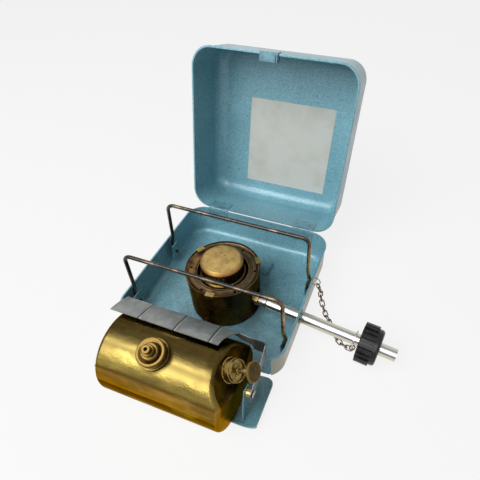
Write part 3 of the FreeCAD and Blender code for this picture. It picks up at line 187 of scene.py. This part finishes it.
burner_middle = middle("burner_cap")
burner_place = (burner_middle.x, burner_middle.y, 0)
enamel = new_finish("enamel", enamel_blue, 0.05, 0.4,
                    {"Coat Weight": 0.3, "Coat Roughness": 0.16, "Specular IOR Level": 0.42})
flake = mottle(enamel, flake_size, 0.4, 0.62, detail=3)
cloud = mottle(enamel, 0.05, 0.35, 0.7)
painted = shade(enamel, flake, enamel_blue, enamel_deep, 0.62)
painted = shade(enamel, cloud, painted, enamel_deep, 0.35)
smoke = times(enamel, near(enamel, burner_place, *smoke_reach, (1, 1, 0.4)),
              mottle(enamel, 0.03, 0.4, 0.62))
painted = shade(enamel, smoke, painted, smoke_brown, 0.55)
scratches = mottle(enamel, 0.004, 0.73, 0.75, (0.06, 1.3, 1), detail=3)
painted = shade(enamel, scratches, painted, scratch_pale, 0.4)
chips = mottle(enamel, 0.0055, 0.70, 0.72, detail=6)
painted = shade(enamel, chips, painted, chip_brown)
specks = mottle(enamel, 0.0021, 0.745, 0.765, detail=1)
painted = shade(enamel, specks, painted, chip_brown)
# Painted reflection: a warm yellow-brown reflection of the table, low on the outer face of the
# right wall.
right_wall = times(enamel, past(enamel, (1, 0, 0), *reflection_start),
                   facing(enamel, reflection_way, 0.35, 0.7))
table_reflection = times(enamel, right_wall, past(enamel, (0, 0, 1), *reflection_top))
reflection_patches = times(enamel, times(enamel, cloud, 0.35), 0.45, "ADD")
painted = shade(enamel, times(enamel, table_reflection, reflection_patches), painted, table_reflection_beige)
colour_with(enamel, painted)
roughen(enamel, cloud, 0.3, 0.44)
relief(enamel, times(enamel, flake, chips, "SUBTRACT"), flake_depth)
dress(enamel, "tray", "lid", "front_flap")


# Small pressed brackets, spot welded on before painting: hinge leaves with the lid's pins,
# lid catch, flap lugs and stay, floor tab and the clips of the hoops. Their coat is darker
# and thinner than the case's.
bracket_pale = (0.165, 0.36, 0.435)
bracket_dark = (0.085, 0.20, 0.25)
bracket_enamel = new_finish("bracket_enamel", enamel_deep, 0.05, 0.36, {"Coat Weight": 0.4})
bracket_blue = shade(bracket_enamel, mottle(bracket_enamel, 0.006, 0.4, 0.66),
                     bracket_pale, bracket_dark)
bracket_chips = mottle(bracket_enamel, 0.0035, 0.66, 0.69, detail=5)
colour_with(bracket_enamel, shade(bracket_enamel, bracket_chips, bracket_blue, chip_brown))
relief(bracket_enamel, mottle(bracket_enamel, flake_size, 0.35, 0.68, detail=3), flake_depth)
dress(bracket_enamel, "tray_hinge_leaves", "lid_hinge_leaves", "lid_hinge_pins", "lid_catch",
      "flap_hinge_lugs", "flap_stay", "floor_tab", "support_clips")


# Instruction sheet glued inside the lid. The paper has yellowed, taken up a little soot
# and lifted in small wrinkles. It is left plain.
paper_pale = (0.56, 0.57, 0.53)
paper_sooty = (0.46, 0.45, 0.39)
wrinkle_depth = 0.0002
paper = new_finish("label_paper", (0.72, 0.73, 0.68), 0, 0.5)
colour_with(paper, shade(paper, mottle(paper, 0.03, 0.45, 0.85), paper_pale, paper_sooty))
relief(paper, mottle(paper, 0.012, 0.3, 0.7), wrinkle_depth)
dress(paper, "lid_label")


# Drawn steel pins of the flap's hinge and the rivet of the shield's arm. They were never
# painted and have dulled.
steel_grey = (0.42, 0.41, 0.39)
steel_brown = (0.2, 0.17, 0.14)
bare_steel = new_finish("bare_steel", (0.36, 0.35, 0.33), 1, 0.34)
colour_with(bare_steel, shade(bare_steel, mottle(bare_steel, 0.003, 0.4, 0.65),
                              steel_grey, steel_brown))
dress(bare_steel, "flap_hinge_pins", "shield_rivet")


# Pot supports: two hoops of 4 mm steel wire sprung into their clips. Years of flame have
# left them brown-black, with straw and blue heat colours in patches; a golden reflection is
# painted on each right leg.
back_brown = (0.03, 0.026, 0.022)
back_straw = (0.17, 0.13, 0.085)
back_leg = (0.084, 0.026, 0.052)
front_brown = (0.024, 0.021, 0.018)
front_straw = (0.13, 0.095, 0.06)
front_leg = (0.082, -0.058, 0.05)
leg_reach = (0.018, 0.045)
leg_reflection_gold = (0.50, 0.32, 0.11)
temper_blue = (0.06, 0.07, 0.10)
scale_depth = 0.00005


def heated_wire(name, brown, straw, leg):
    """Wire scaled dark by flame, with temper colours along it and a painted gold reflection at
    one leg.
    """
    wire = new_finish(name, brown, 0.95, 0.28, {"Coat Weight": 0.25})
    tint = shade(wire, mottle(wire, 0.02, 0.5, 0.66, (1, 1, 0.6)), brown, straw)
    tint = shade(wire, mottle(wire, 0.018, 0.58, 0.68), tint, temper_blue, 0.6)
    # Painted reflection: gold in patches on the right leg.
    leg_reflection = times(wire, near(wire, leg, *leg_reach), mottle(wire, 0.012, 0.35, 0.6))
    colour_with(wire, shade(wire, leg_reflection, tint, leg_reflection_gold, 0.8))
    scale = mottle(wire, 0.0016, 0.4, 0.7)
    roughen(wire, scale, 0.18, 0.42)
    relief(wire, scale, scale_depth)
    return wire


dress(heated_wire("back_wire", back_brown, back_straw, back_leg), "support_back")
dress(heated_wire("front_wire", front_brown, front_straw, front_leg), "support_front")


# Fuel tank: a drawn brass shell with a pressed end, soldered round the seam. The brass
# was polished bright. The long brown, olive and gold bands round the barrel are painted
# reflections of the room, with painted glints; its brown spots are tarnish.
glint_gold = (0.52, 0.39, 0.11)
brass_olive = (0.25, 0.19, 0.055)
brass_dull = (0.105, 0.075, 0.022)
brass_brown = (0.045, 0.027, 0.007)
brass_gold = (0.43, 0.235, 0.042)
end_dark_reflection = (0.035, 0.024, 0.006)
end_brown = (0.08, 0.055, 0.015)
end_gold_reflection = (0.43, 0.23, 0.04)
left_olive = (0.30, 0.22, 0.06)
left_brown = (0.13, 0.09, 0.024)
end_start = (0.0600, 0.0625)
pump_seat = (0.0575, -0.122, 0.066)
seat_reach = (0.0185, 0.0225)
slant_way = (0, 0.97, 1)
slant_start = (-0.0815, -0.0850)
filler_place = (-0.0025, -0.1358, 0.0763)
filler_shadow_reach = (0.0138, 0.0168)
dent_depth = 0.0002
reflection_bands = (
    (0.0, brass_brown), (0.46, brass_brown), (0.53, (0.36, 0.19, 0.03)), (0.64, brass_gold),
    (0.725, (0.55, 0.29, 0.045)), (0.745, brass_brown), (0.782, (0.06, 0.035, 0.009)),
    (0.79, (0.02, 0.012, 0.004)), (0.797, (0.50, 0.22, 0.02)), (0.84, (0.38, 0.19, 0.03)),
    (0.852, (0.09, 0.055, 0.012)), (0.866, (0.26, 0.185, 0.042)),
    (0.90, (0.30, 0.225, 0.058)), (0.918, (0.21, 0.16, 0.045)),
    (0.94, (0.105, 0.078, 0.022)), (0.955, (0.21, 0.16, 0.048)),
    (0.972, (0.085, 0.062, 0.018)), (1.0, (0.04, 0.028, 0.009)))


def band(finish, source, marks):
    """Colours laid side by side along a value, each mark a position and a colour."""
    ramp = add(finish, "ValToRGB")
    while len(ramp.color_ramp.elements) < len(marks):
        ramp.color_ramp.elements.new(0.5)
    for element, (position, colour) in zip(ramp.color_ramp.elements, marks):
        element.position = position
        element.color = (*colour, 1)
    join(finish, source, ramp.inputs["Fac"])
    return ramp.outputs["Color"]


def round_barrel(finish, centre, side, wander):
    """How far round a barrel a point is: 0.5 straight down, 0.75 at the front, 1 on top."""
    wander_turn = 0.014
    place = stretched(finish, (1, 1, 1), centre)
    reach = vector_step(finish, "DOT_PRODUCT", place, (-side[0], -side[1], 0))
    split = add(finish, "SeparateXYZ")
    join(finish, place, split.inputs[0])
    down = times(finish, split.outputs["Z"], -1)
    turned = times(finish, reach.outputs["Value"], down, "ARCTAN2")
    level = between(finish, turned, -math.pi, math.pi)
    return times(finish, level, times(finish, wander, wander_turn), "ADD")


tank_brass = new_finish("tank_brass", brass_olive, 1, 0.24,
                        {"Specular Tint": (0.8, 0.54, 0.19, 1)})
# Painted reflections: bands of brown, olive and gold round the barrel stand for the room
# mirrored in the brass.
wander = mottle(tank_brass, 0.045, 0.3, 0.7, (0.3, 1, 1))
tarnish_and_reflections = band(tank_brass, round_barrel(tank_brass, middle("tank_shell"), (0, 1), wander),
               reflection_bands)
# Dark lengthwise streaks, partly painted reflection.
streaks = mottle(tank_brass, 0.014, 0.42, 0.64, (0.1, 1, 1), detail=5)
tarnish_and_reflections = shade(tank_brass, streaks, tarnish_and_reflections, brass_dull, 0.6)
spots = mottle(tank_brass, 0.02, 0.46, 0.68, (0.6, 1, 1), detail=6)
tarnish_and_reflections = shade(tank_brass, spots, tarnish_and_reflections, brass_dull, 0.7)
# Painted highlight: bright glints.
painted_glints = mottle(tank_brass, 0.017, 0.6, 0.75, (0.3, 1, 1))
tarnish_and_reflections = shade(tank_brass, painted_glints, tarnish_and_reflections, glint_gold, 0.5)
# Painted reflections on the pressed end and the pump's seat: dark where the flap is mirrored,
# gold low down where the floor is.
on_end = times(tank_brass, past(tank_brass, (1, 0, 0), *end_start),
               near(tank_brass, pump_seat, *seat_reach), "MAXIMUM")
end_reflections = shade(tank_brass, mottle(tank_brass, 0.012, 0.35, 0.7), end_dark_reflection, end_brown)
end_reflections = shade(tank_brass, past(tank_brass, slant_way, *slant_start), end_reflections, end_gold_reflection)
tarnish_and_reflections = shade(tank_brass, on_end, tarnish_and_reflections, end_reflections, 0.9)
# Painted shade: darker brown on the bends at both ends of the barrel.
end_bends = times(tank_brass, facing(tank_brass, (-1, 0, 0), 0.15, 0.5),
                  facing(tank_brass, (1, 0, 0), 0.25, 0.6), "MAXIMUM")
tarnish_and_reflections = shade(tank_brass, end_bends, tarnish_and_reflections, brass_brown, 0.5)
left_skin = shade(tank_brass, mottle(tank_brass, 0.03, 0.35, 0.7), left_olive, left_brown)
tarnish_and_reflections = shade(tank_brass, facing(tank_brass, (-1, 0, 0), 0.55, 0.85), tarnish_and_reflections, left_skin)
# Painted shadow: a dark brown ring on the shell round the filler cap.
filler_shadow_ring = near(tank_brass, filler_place, *filler_shadow_reach)
tarnish_and_reflections = shade(tank_brass, filler_shadow_ring, tarnish_and_reflections, brass_brown, 0.8)
colour_with(tank_brass, tarnish_and_reflections)
roughen(tank_brass, mottle(tank_brass, 0.02, 0.3, 0.7), 0.2, 0.36)
relief(tank_brass, mottle(tank_brass, 0.009, 0.3, 0.7, (0.4, 1, 1)), dent_depth)
dress(tank_brass, "tank_shell", "tank_end")


# Plain brass pieces at the tank: filler neck, pump barrel, pickup tube and the nut of the
# fuel pipe. Nobody polishes them, so they are brown with paler patches.
plain_brown = (0.07, 0.045, 0.012)
plain_pale = (0.26, 0.18, 0.05)
end_brass = new_finish("end_brass", brass_dull, 1, 0.27)
colour_with(end_brass, shade(end_brass, mottle(end_brass, 0.008, 0.35, 0.7),
                             plain_brown, plain_pale))
roughen(end_brass, mottle(end_brass, 0.01, 0.3, 0.7), 0.2, 0.38)
dress(end_brass, "pump_barrel", "pipe_nut", "filler_neck", "pickup_tube")


# Turned brass fittings and the folded rim tabs, paler than the tank's bands. The filler
# cap, with its safety-valve nose, is browner at its edge and nose.
fitting_gold = (0.40, 0.30, 0.105)
fitting_brown = (0.22, 0.155, 0.05)
cap_gold = (0.42, 0.31, 0.09)
cap_brown = (0.24, 0.17, 0.045)
cap_edge_brown = (0.11, 0.07, 0.018)
cap_edge_reach = (0.0098, 0.0112)
bright_brass = new_finish("bright_brass", (0.38, 0.28, 0.10), 1, 0.26)
colour_with(bright_brass, shade(bright_brass, mottle(bright_brass, 0.009, 0.35, 0.75),
                                fitting_gold, fitting_brown))
roughen(bright_brass, mottle(bright_brass, 0.006, 0.3, 0.7), 0.24, 0.36)
dress(bright_brass, "pump_rod", "gland_nut", "rivet_washer", "rim_tabs",
      "nipple", "check_valve", "valve_spindle")

filler_brass = new_finish("filler_brass", (0.33, 0.24, 0.065), 1, 0.25)
cap_skin = shade(filler_brass, mottle(filler_brass, 0.006, 0.4, 0.7), cap_gold, cap_brown)
cap_edge = near(filler_brass, filler_place, *cap_edge_reach)
colour_with(filler_brass, shade(filler_brass, cap_edge, cap_edge_brown, cap_skin))
roughen(filler_brass, mottle(filler_brass, 0.004, 0.3, 0.7), 0.2, 0.32)
dress(filler_brass, "filler_cap")


# Hand pump on the tank's right end: a boss soldered to the tank, its screwed cap and a
# button on the rod. The button's rim is brown and its face is worn.
boss_gold = (0.30, 0.21, 0.06)
boss_brown = (0.09, 0.058, 0.018)
button_black = (0.045, 0.028, 0.008)
button_brown = (0.09, 0.06, 0.018)
button_worn = (0.17, 0.115, 0.035)
button_reach = (0.0074, 0.0088)
boss_brass = new_finish("boss_brass", (0.28, 0.195, 0.055), 1, 0.26)
colour_with(boss_brass, shade(boss_brass, mottle(boss_brass, 0.004, 0.4, 0.65),
                              boss_gold, boss_brown))
dress(boss_brass, "pump_boss", "pump_cap")

button_brass = new_finish("button_brass", (0.055, 0.034, 0.010), 1, 0.33)
button_skin = shade(button_brass, mottle(button_brass, 0.004, 0.35, 0.7),
                    button_black, button_brown)
button_face = near(button_brass, middle("pump_button"), *button_reach)
colour_with(button_brass, shade(button_brass, button_face, button_worn, button_skin))
dress(button_brass, "pump_button")


# Heat shield: soft aluminium sheet bent over the back of the tank. Three creases are
# pressed across it, and handling has left it grey with smears and fine scratches.
sheet_pale = (0.31, 0.325, 0.315)
sheet_dark = (0.17, 0.18, 0.172)
sheet_line = (0.42, 0.42, 0.41)
crease_shade_dark = (0.05, 0.05, 0.047)
arm_shade_dark = (0.07, 0.078, 0.08)
arm_start = (0.062, 0.068)
sheet_depth = 0.0005
crease_highlight_pale = (0.56, 0.57, 0.56)
crease_dark = (0.32, 0.33, 0.32)
crease_places = (-0.032, 0.003, 0.0365)
crease_half = 0.0004
crease_sides = 8
crease_steps = 14
crease_shade_beside = 0.0013
crease_shade_reach = (0.0005, 0.0015)
sheet_centre = Vector((0, -0.1271, 0.0114))
sheet_radius = 0.0708
first_turn = math.radians(12.9)
last_turn = math.radians(33.3)

shield_metal = new_finish("shield_metal", (0.26, 0.27, 0.26), 0.85, 0.42)
smears = mottle(shield_metal, 0.02, 0.35, 0.7, (1.6, 1, 1))
rubbed = shade(shield_metal, smears, sheet_pale, sheet_dark)
lines = mottle(shield_metal, 0.0025, 0.6, 0.72, (0.08, 1, 1))
rubbed = shade(shield_metal, lines, rubbed, sheet_line, 0.4)
# Painted shade: a dark line on the sheet beside each crease.
for across in crease_places:
    crease_shade = near(shield_metal, (across - crease_shade_beside, 0, 0), *crease_shade_reach, (1, 0, 0))
    rubbed = shade(shield_metal, crease_shade, rubbed, crease_shade_dark, 0.85)
# Painted shade: the arm side of the sheet is darkened.
arm_shade = past(shield_metal, (1, 0, 0), *arm_start)
colour_with(shield_metal, shade(shield_metal, arm_shade, rubbed, arm_shade_dark, 0.9))
roughen(shield_metal, smears, 0.36, 0.5)
relief(shield_metal, mottle(shield_metal, 0.016, 0.3, 0.7), sheet_depth)
dress(shield_metal, "heat_shield")


def object_from(mesh, name, finish):
    """Turns a finished mesh into an object of the scene with its finish."""
    data = bpy.data.meshes.new(name)
    mesh.to_mesh(data)
    mesh.free()
    data.materials.append(finish)
    made = bpy.data.objects.new(name, data)
    bpy.context.scene.collection.objects.link(made)
    return made


# Painted highlight: the crease beads are paler than the sheet, for the bright line along each
# crease.
crease_highlight_metal = new_finish("crease_highlight_metal", (0.5, 0.51, 0.5), 0.9, 0.35)
colour_with(crease_highlight_metal, shade(crease_highlight_metal, mottle(crease_highlight_metal, 0.006, 0.4, 0.7),
                                crease_highlight_pale, crease_dark))
crease = bmesh.new()
for across in crease_places:
    ring = bmesh.ops.create_circle(crease, radius=crease_half, segments=crease_sides)["verts"]
    start = sheet_centre + Vector((across, math.sin(first_turn) * sheet_radius,
                                   math.cos(first_turn) * sheet_radius))
    bmesh.ops.rotate(crease, verts=ring, cent=(0, 0, 0),
                     matrix=Matrix.Rotation(math.radians(90) - first_turn, 3, "X"))
    bmesh.ops.translate(crease, verts=ring, vec=start)
    edges = list({edge for vert in ring for edge in vert.link_edges})
    bmesh.ops.spin(crease, geom=ring + edges, cent=sheet_centre, axis=(1, 0, 0),
                   angle=first_turn - last_turn, steps=crease_steps, use_merge=False)
bmesh.ops.holes_fill(crease, edges=crease.edges, sides=crease_sides)
bmesh.ops.recalc_face_normals(crease, faces=crease.faces)
shield_creases = object_from(crease, "shield_creases", crease_highlight_metal)
shield_creases.data.shade_smooth()
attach(shield_creases, "shield")


# Wind cup, priming cup, fuel pipe and the burner's inner parts: brass burnt to a dark brown
# skin, with a coppery bloom where the flame has licked it and a painted grey reflection of the
# tray on the right.
burnt_black = (0.048, 0.028, 0.007)
burnt_copper = (0.22, 0.125, 0.03)
cup_reflection_grey = (0.045, 0.052, 0.048)
cup_reflection_place = (0.036, -0.03, 0.03)
cup_reflection_reach = (0.014, 0.034)
burnt_depth = 0.0002
burnt_brass = new_finish("burnt_brass", (0.028, 0.018, 0.006), 0.97, 0.26,
                         {"Specular Tint": (0.6, 0.42, 0.22, 1)})
bloom = mottle(burnt_brass, 0.02, 0.45, 0.75, (1, 1, 0.5))
burnt = shade(burnt_brass, bloom, burnt_black, burnt_copper)
# Painted reflection: grey on the right where the blue tray is mirrored.
cup_reflection = near(burnt_brass, cup_reflection_place, *cup_reflection_reach, (1, 1, 0.5))
colour_with(burnt_brass, shade(burnt_brass, cup_reflection, burnt, cup_reflection_grey, 0.45))
roughen(burnt_brass, mottle(burnt_brass, 0.008, 0.35, 0.7), 0.2, 0.42)
relief(burnt_brass, mottle(burnt_brass, 0.01, 0.3, 0.7), burnt_depth)
dress(burnt_brass, "wind_cup", "burner_body", "burner_bell", "flame_ring", "priming_cup",
      "fuel_pipe")


# Ring plate in the top of the wind cup: pressed brass with a bead and a ring of air holes.
# Heat has coloured it in rings, with a coppery bloom on its left.
plate_soot = (0.06, 0.042, 0.024)
plate_copper = (0.36, 0.17, 0.05)
bloom_place = (-0.033, -0.014, 0.051)
bloom_reach = (0.008, 0.03)
plate_radius = 0.05
plate_depth = 0.00015
plate_rings = (
    (0.55, (0.34, 0.25, 0.13)), (0.573, (0.30, 0.21, 0.11)), (0.588, (0.05, 0.034, 0.018)),
    (0.62, (0.17, 0.11, 0.05)), (0.69, (0.13, 0.085, 0.038)), (0.715, (0.02, 0.014, 0.008)),
    (0.752, (0.02, 0.014, 0.008)), (0.77, (0.22, 0.15, 0.07)))
plate_brass = new_finish("plate_brass", (0.12, 0.075, 0.032), 0.9, 0.38)
plate_share = (1 / plate_radius, 1 / plate_radius, 0)
outward = vector_step(plate_brass, "LENGTH", stretched(plate_brass, plate_share, burner_place))
rings = band(plate_brass, outward.outputs["Value"], plate_rings)
heat_bloom = near(plate_brass, bloom_place, *bloom_reach)
rings = shade(plate_brass, heat_bloom, rings, plate_copper, 0.55)
colour_with(plate_brass, shade(plate_brass, mottle(plate_brass, 0.009, 0.45, 0.68),
                               rings, plate_soot))
roughen(plate_brass, mottle(plate_brass, 0.006, 0.3, 0.7), 0.3, 0.5)
relief(plate_brass, mottle(plate_brass, 0.004, 0.3, 0.7), plate_depth)
dress(plate_brass, "ring_plate")


# Burner cap: a thick brass disc that spreads the flame. Its crown is wiped clean to a
# pale satin gold and its rim is baked brown.
crown_pale = (0.56, 0.39, 0.14)
crown_gold = (0.38, 0.25, 0.085)
pit_brown = (0.2, 0.125, 0.04)
rim_brown = (0.09, 0.055, 0.018)
rim_copper = (0.42, 0.23, 0.065)
crown_reach = (0.0175, 0.0235)
brim_reach = (0.0190, 0.0222)
pit_depth = 0.00012
cap_brass = new_finish("cap_brass", (0.45, 0.32, 0.12), 1, 0.4)
worn = shade(cap_brass, mottle(cap_brass, 0.007, 0.4, 0.7), crown_pale, crown_gold)
pits = mottle(cap_brass, 0.0035, 0.58, 0.72, detail=6)
worn = shade(cap_brass, pits, worn, pit_brown)
crown = near(cap_brass, burner_place, *crown_reach, (1, 1, 0))
brim = near(cap_brass, burner_place, *brim_reach, (1, 1, 0))
baked = shade(cap_brass, crown, rim_brown, rim_copper)
colour_with(cap_brass, shade(cap_brass, times(cap_brass, brim, crown), baked, worn))
roughen(cap_brass, mottle(cap_brass, 0.004, 0.3, 0.7), 0.33, 0.5)
relief(cap_brass, mottle(cap_brass, 0.0022, 0.3, 0.7), pit_depth)
dress(cap_brass, "burner_cap")


# Valve key: chromed steel tube with a plain steel socket, and the loose collar that the
# chain holds. The plating has fine lengthwise scratches and a warm film; bands of painted
# reflection run round the tube.
key_lean = math.radians(6.6)
key_side = (math.sin(key_lean), math.cos(key_lean))
key_middle = (burner_middle.x, burner_middle.y, middle("key_socket").z)
chrome_warm = (0.5, 0.47, 0.4)
socket_pale = (0.34, 0.33, 0.31)
socket_dark = (0.13, 0.12, 0.11)
chrome_reflection_bands = (
    (0.0, (0.30, 0.30, 0.28)), (0.04, (0.58, 0.55, 0.46)), (0.3, (0.62, 0.62, 0.6)),
    (0.55, (0.30, 0.25, 0.15)), (0.66, (0.60, 0.48, 0.25)), (0.79, (0.74, 0.68, 0.52)),
    (0.81, (0.34, 0.38, 0.42)), (0.842, (0.05, 0.06, 0.09)), (0.862, (0.42, 0.43, 0.43)),
    (0.95, (0.50, 0.50, 0.49)), (0.972, (0.36, 0.36, 0.35)), (0.99, (0.13, 0.13, 0.13)),
    (1.0, (0.30, 0.30, 0.28)))
chrome = new_finish("key_chrome", (0.72, 0.72, 0.70), 1, 0.14)
# Painted reflections: bands round the tube, white, grey, a dark line below the white and gold
# low down.
drift = mottle(chrome, 0.02, 0.3, 0.7, (0.2, 0.2, 1))
painted_reflection = band(chrome, round_barrel(chrome, key_middle, key_side, drift), chrome_reflection_bands)
warmth = mottle(chrome, 0.01, 0.4, 0.8, (0.3, 1, 1))
colour_with(chrome, shade(chrome, warmth, painted_reflection, chrome_warm, 0.4))
roughen(chrome, mottle(chrome, 0.006, 0.4, 0.7, (0.1, 1, 1)), 0.24, 0.34)
dress(chrome, "key_tube", "chain_collar")

socket_steel = new_finish("socket_steel", (0.3, 0.29, 0.27), 1, 0.34)
colour_with(socket_steel, shade(socket_steel, mottle(socket_steel, 0.003, 0.4, 0.65),
                                socket_pale, socket_dark))
roughen(socket_steel, mottle(socket_steel, 0.002, 0.3, 0.7), 0.28, 0.45)
dress(socket_steel, "key_socket")


# Knob: black phenolic moulding with a ribbed grip and a smooth outer band, gone slightly
# grey on the ribs.
knob_deep = (0.009, 0.009, 0.009)
knob_grey = (0.03, 0.029, 0.027)
knob_black = new_finish("knob_black", (0.008, 0.008, 0.008), 0, 0.3,
                        {"Specular IOR Level": 0.25})
colour_with(knob_black, shade(knob_black, mottle(knob_black, 0.006, 0.45, 0.75),
                              knob_deep, knob_grey))
roughen(knob_black, mottle(knob_black, 0.003, 0.3, 0.7), 0.22, 0.4)
dress(knob_black, "key_knob")


# Chain of oval wire links and the ring it hangs from, bent from plain steel wire. A brown
# film of rust lies on them.
chain_pale = (0.25, 0.19, 0.13)
chain_rust = (0.06, 0.045, 0.035)
chain_steel = new_finish("chain_steel", (0.18, 0.14, 0.10), 1, 0.35)
colour_with(chain_steel, shade(chain_steel, mottle(chain_steel, 0.003, 0.4, 0.65),
                               chain_pale, chain_rust))
dress(chain_steel, "key_chain", "chain_ring")


# Seals: a black rubber washer under the filler cap, and the oiled leather cup that drives
# the air in the pump.
rubber_black = (0.018, 0.018, 0.018)
rubber_grey = (0.035, 0.033, 0.03)
hide_brown = (0.17, 0.09, 0.04)
hide_dark = (0.07, 0.035, 0.018)
seal_rubber = new_finish("seal_rubber", (0.02, 0.02, 0.02), 0, 0.6)
colour_with(seal_rubber, shade(seal_rubber, mottle(seal_rubber, 0.002, 0.4, 0.7),
                               rubber_black, rubber_grey))
dress(seal_rubber, "filler_gasket")

pump_hide = new_finish("pump_hide", (0.16, 0.08, 0.035), 0, 0.55)
colour_with(pump_hide, shade(pump_hide, mottle(pump_hide, 0.002, 0.4, 0.7),
                             hide_brown, hide_dark))
dress(pump_hide, "pump_leather")


# Studio: a pale floor and a white surround. Both glow white only for the camera, for
# mirrors and through glass, and light the stove softly.
floor_half = 3
floor_height = -0.0004
floor_glow = 0.85
sky_tint = (0.95, 0.98, 1, 1)
sky_light = 0.06


def seen(finish):
    """1 for rays from the camera, off a gloss or through glass, and 0 for the rest."""
    path = add(finish, "LightPath")
    share = times(finish, path.outputs["Is Camera Ray"], path.outputs["Is Glossy Ray"],
                  "MAXIMUM")
    return times(finish, share, path.outputs["Is Transmission Ray"], "MAXIMUM")


def glow_over(finish, share, under, over, output):
    """Lays one shader over another by a share, as the output's surface."""
    mix = add(finish, "MixShader")
    for source, target in zip((share, under, over), mix.inputs):
        join(finish, source, target)
    join(finish, mix.outputs[0], output.inputs["Surface"])


floor_white = new_finish("floor_white", (0.62, 0.62, 0.61), 0, 0.9)
glow_over(floor_white, times(floor_white, seen(floor_white), floor_glow),
          shader_of(floor_white).outputs[0], add(floor_white, "Emission").outputs[0],
          floor_white.node_tree.nodes["Material Output"])
floor_mesh = bmesh.new()
bmesh.ops.create_grid(floor_mesh, x_segments=1, y_segments=1, size=floor_half)
bmesh.ops.translate(floor_mesh, verts=floor_mesh.verts, vec=(0, 0, floor_height))
object_from(floor_mesh, "floor", floor_white)

world = bpy.data.worlds.new("surround")
bpy.context.scene.world = world
world.use_nodes = True
world.node_tree.nodes.clear()
soft = add(world, "Background", {"Color": sky_tint, "Strength": sky_light})
white = add(world, "Background", {"Color": (1, 1, 1, 1), "Strength": 1})
glow_over(world, seen(world), soft.outputs[0], white.outputs[0], add(world, "OutputWorld"))


# Lamps: one soft square lamp high on the left does nearly all the work, and a weak one
# fills from the right. Both are aimed at the middle of the stove.
lamp_aim = Vector((0, -0.02, 0.05))
key_lamp_place = Vector((-0.38, -0.75, 1.1))
key_lamp_power = 22
key_lamp_wide = 1.1
fill_lamp_place = Vector((0.9, -0.7, 0.8))
fill_lamp_power = 0.5
fill_lamp_wide = 0.9


def lamp(name, place, power, wide):
    """One soft square lamp turned to face the stove."""
    data = bpy.data.lights.new(name, "AREA")
    data.energy = power
    data.size = wide
    made = bpy.data.objects.new(name, data)
    made.location = place
    made.rotation_euler = (lamp_aim - place).to_track_quat("-Z", "Y").to_euler()
    bpy.context.scene.collection.objects.link(made)


lamp("key_lamp", key_lamp_place, key_lamp_power, key_lamp_wide)
lamp("fill_lamp", fill_lamp_place, fill_lamp_power, fill_lamp_wide)


# Camera: it looks down on the stove from the front right, a little tilted, with its lens
# shifted so that the stove stands in the middle of the picture.
camera_place = (0.1437, -0.2542, 0.3614)
camera_turn = math.radians(22.1)
camera_rise = math.radians(48.3)
camera_tilt = math.radians(-1.4)
view = bpy.data.cameras.new("camera")
view.sensor_width = 36
view.lens = 29.44
view.shift_x = -0.0483
view.shift_y = 0.0644
level_reach = math.cos(camera_rise)
back = Vector((math.sin(camera_turn) * level_reach, -math.cos(camera_turn) * level_reach,
               math.sin(camera_rise)))
right = Vector((math.cos(camera_turn), math.sin(camera_turn), 0))
upright = back.cross(right)
camera_right = right * math.cos(camera_tilt) + upright * math.sin(camera_tilt)
camera_top = upright * math.cos(camera_tilt) - right * math.sin(camera_tilt)
stand = Matrix((camera_right, camera_top, back)).transposed().to_4x4()
stand.translation = camera_place
camera = bpy.data.objects.new("camera", view)
camera.matrix_world = stand
bpy.context.scene.collection.objects.link(camera)
bpy.context.scene.camera = camera
bpy.context.scene.view_settings.view_transform = "Standard"
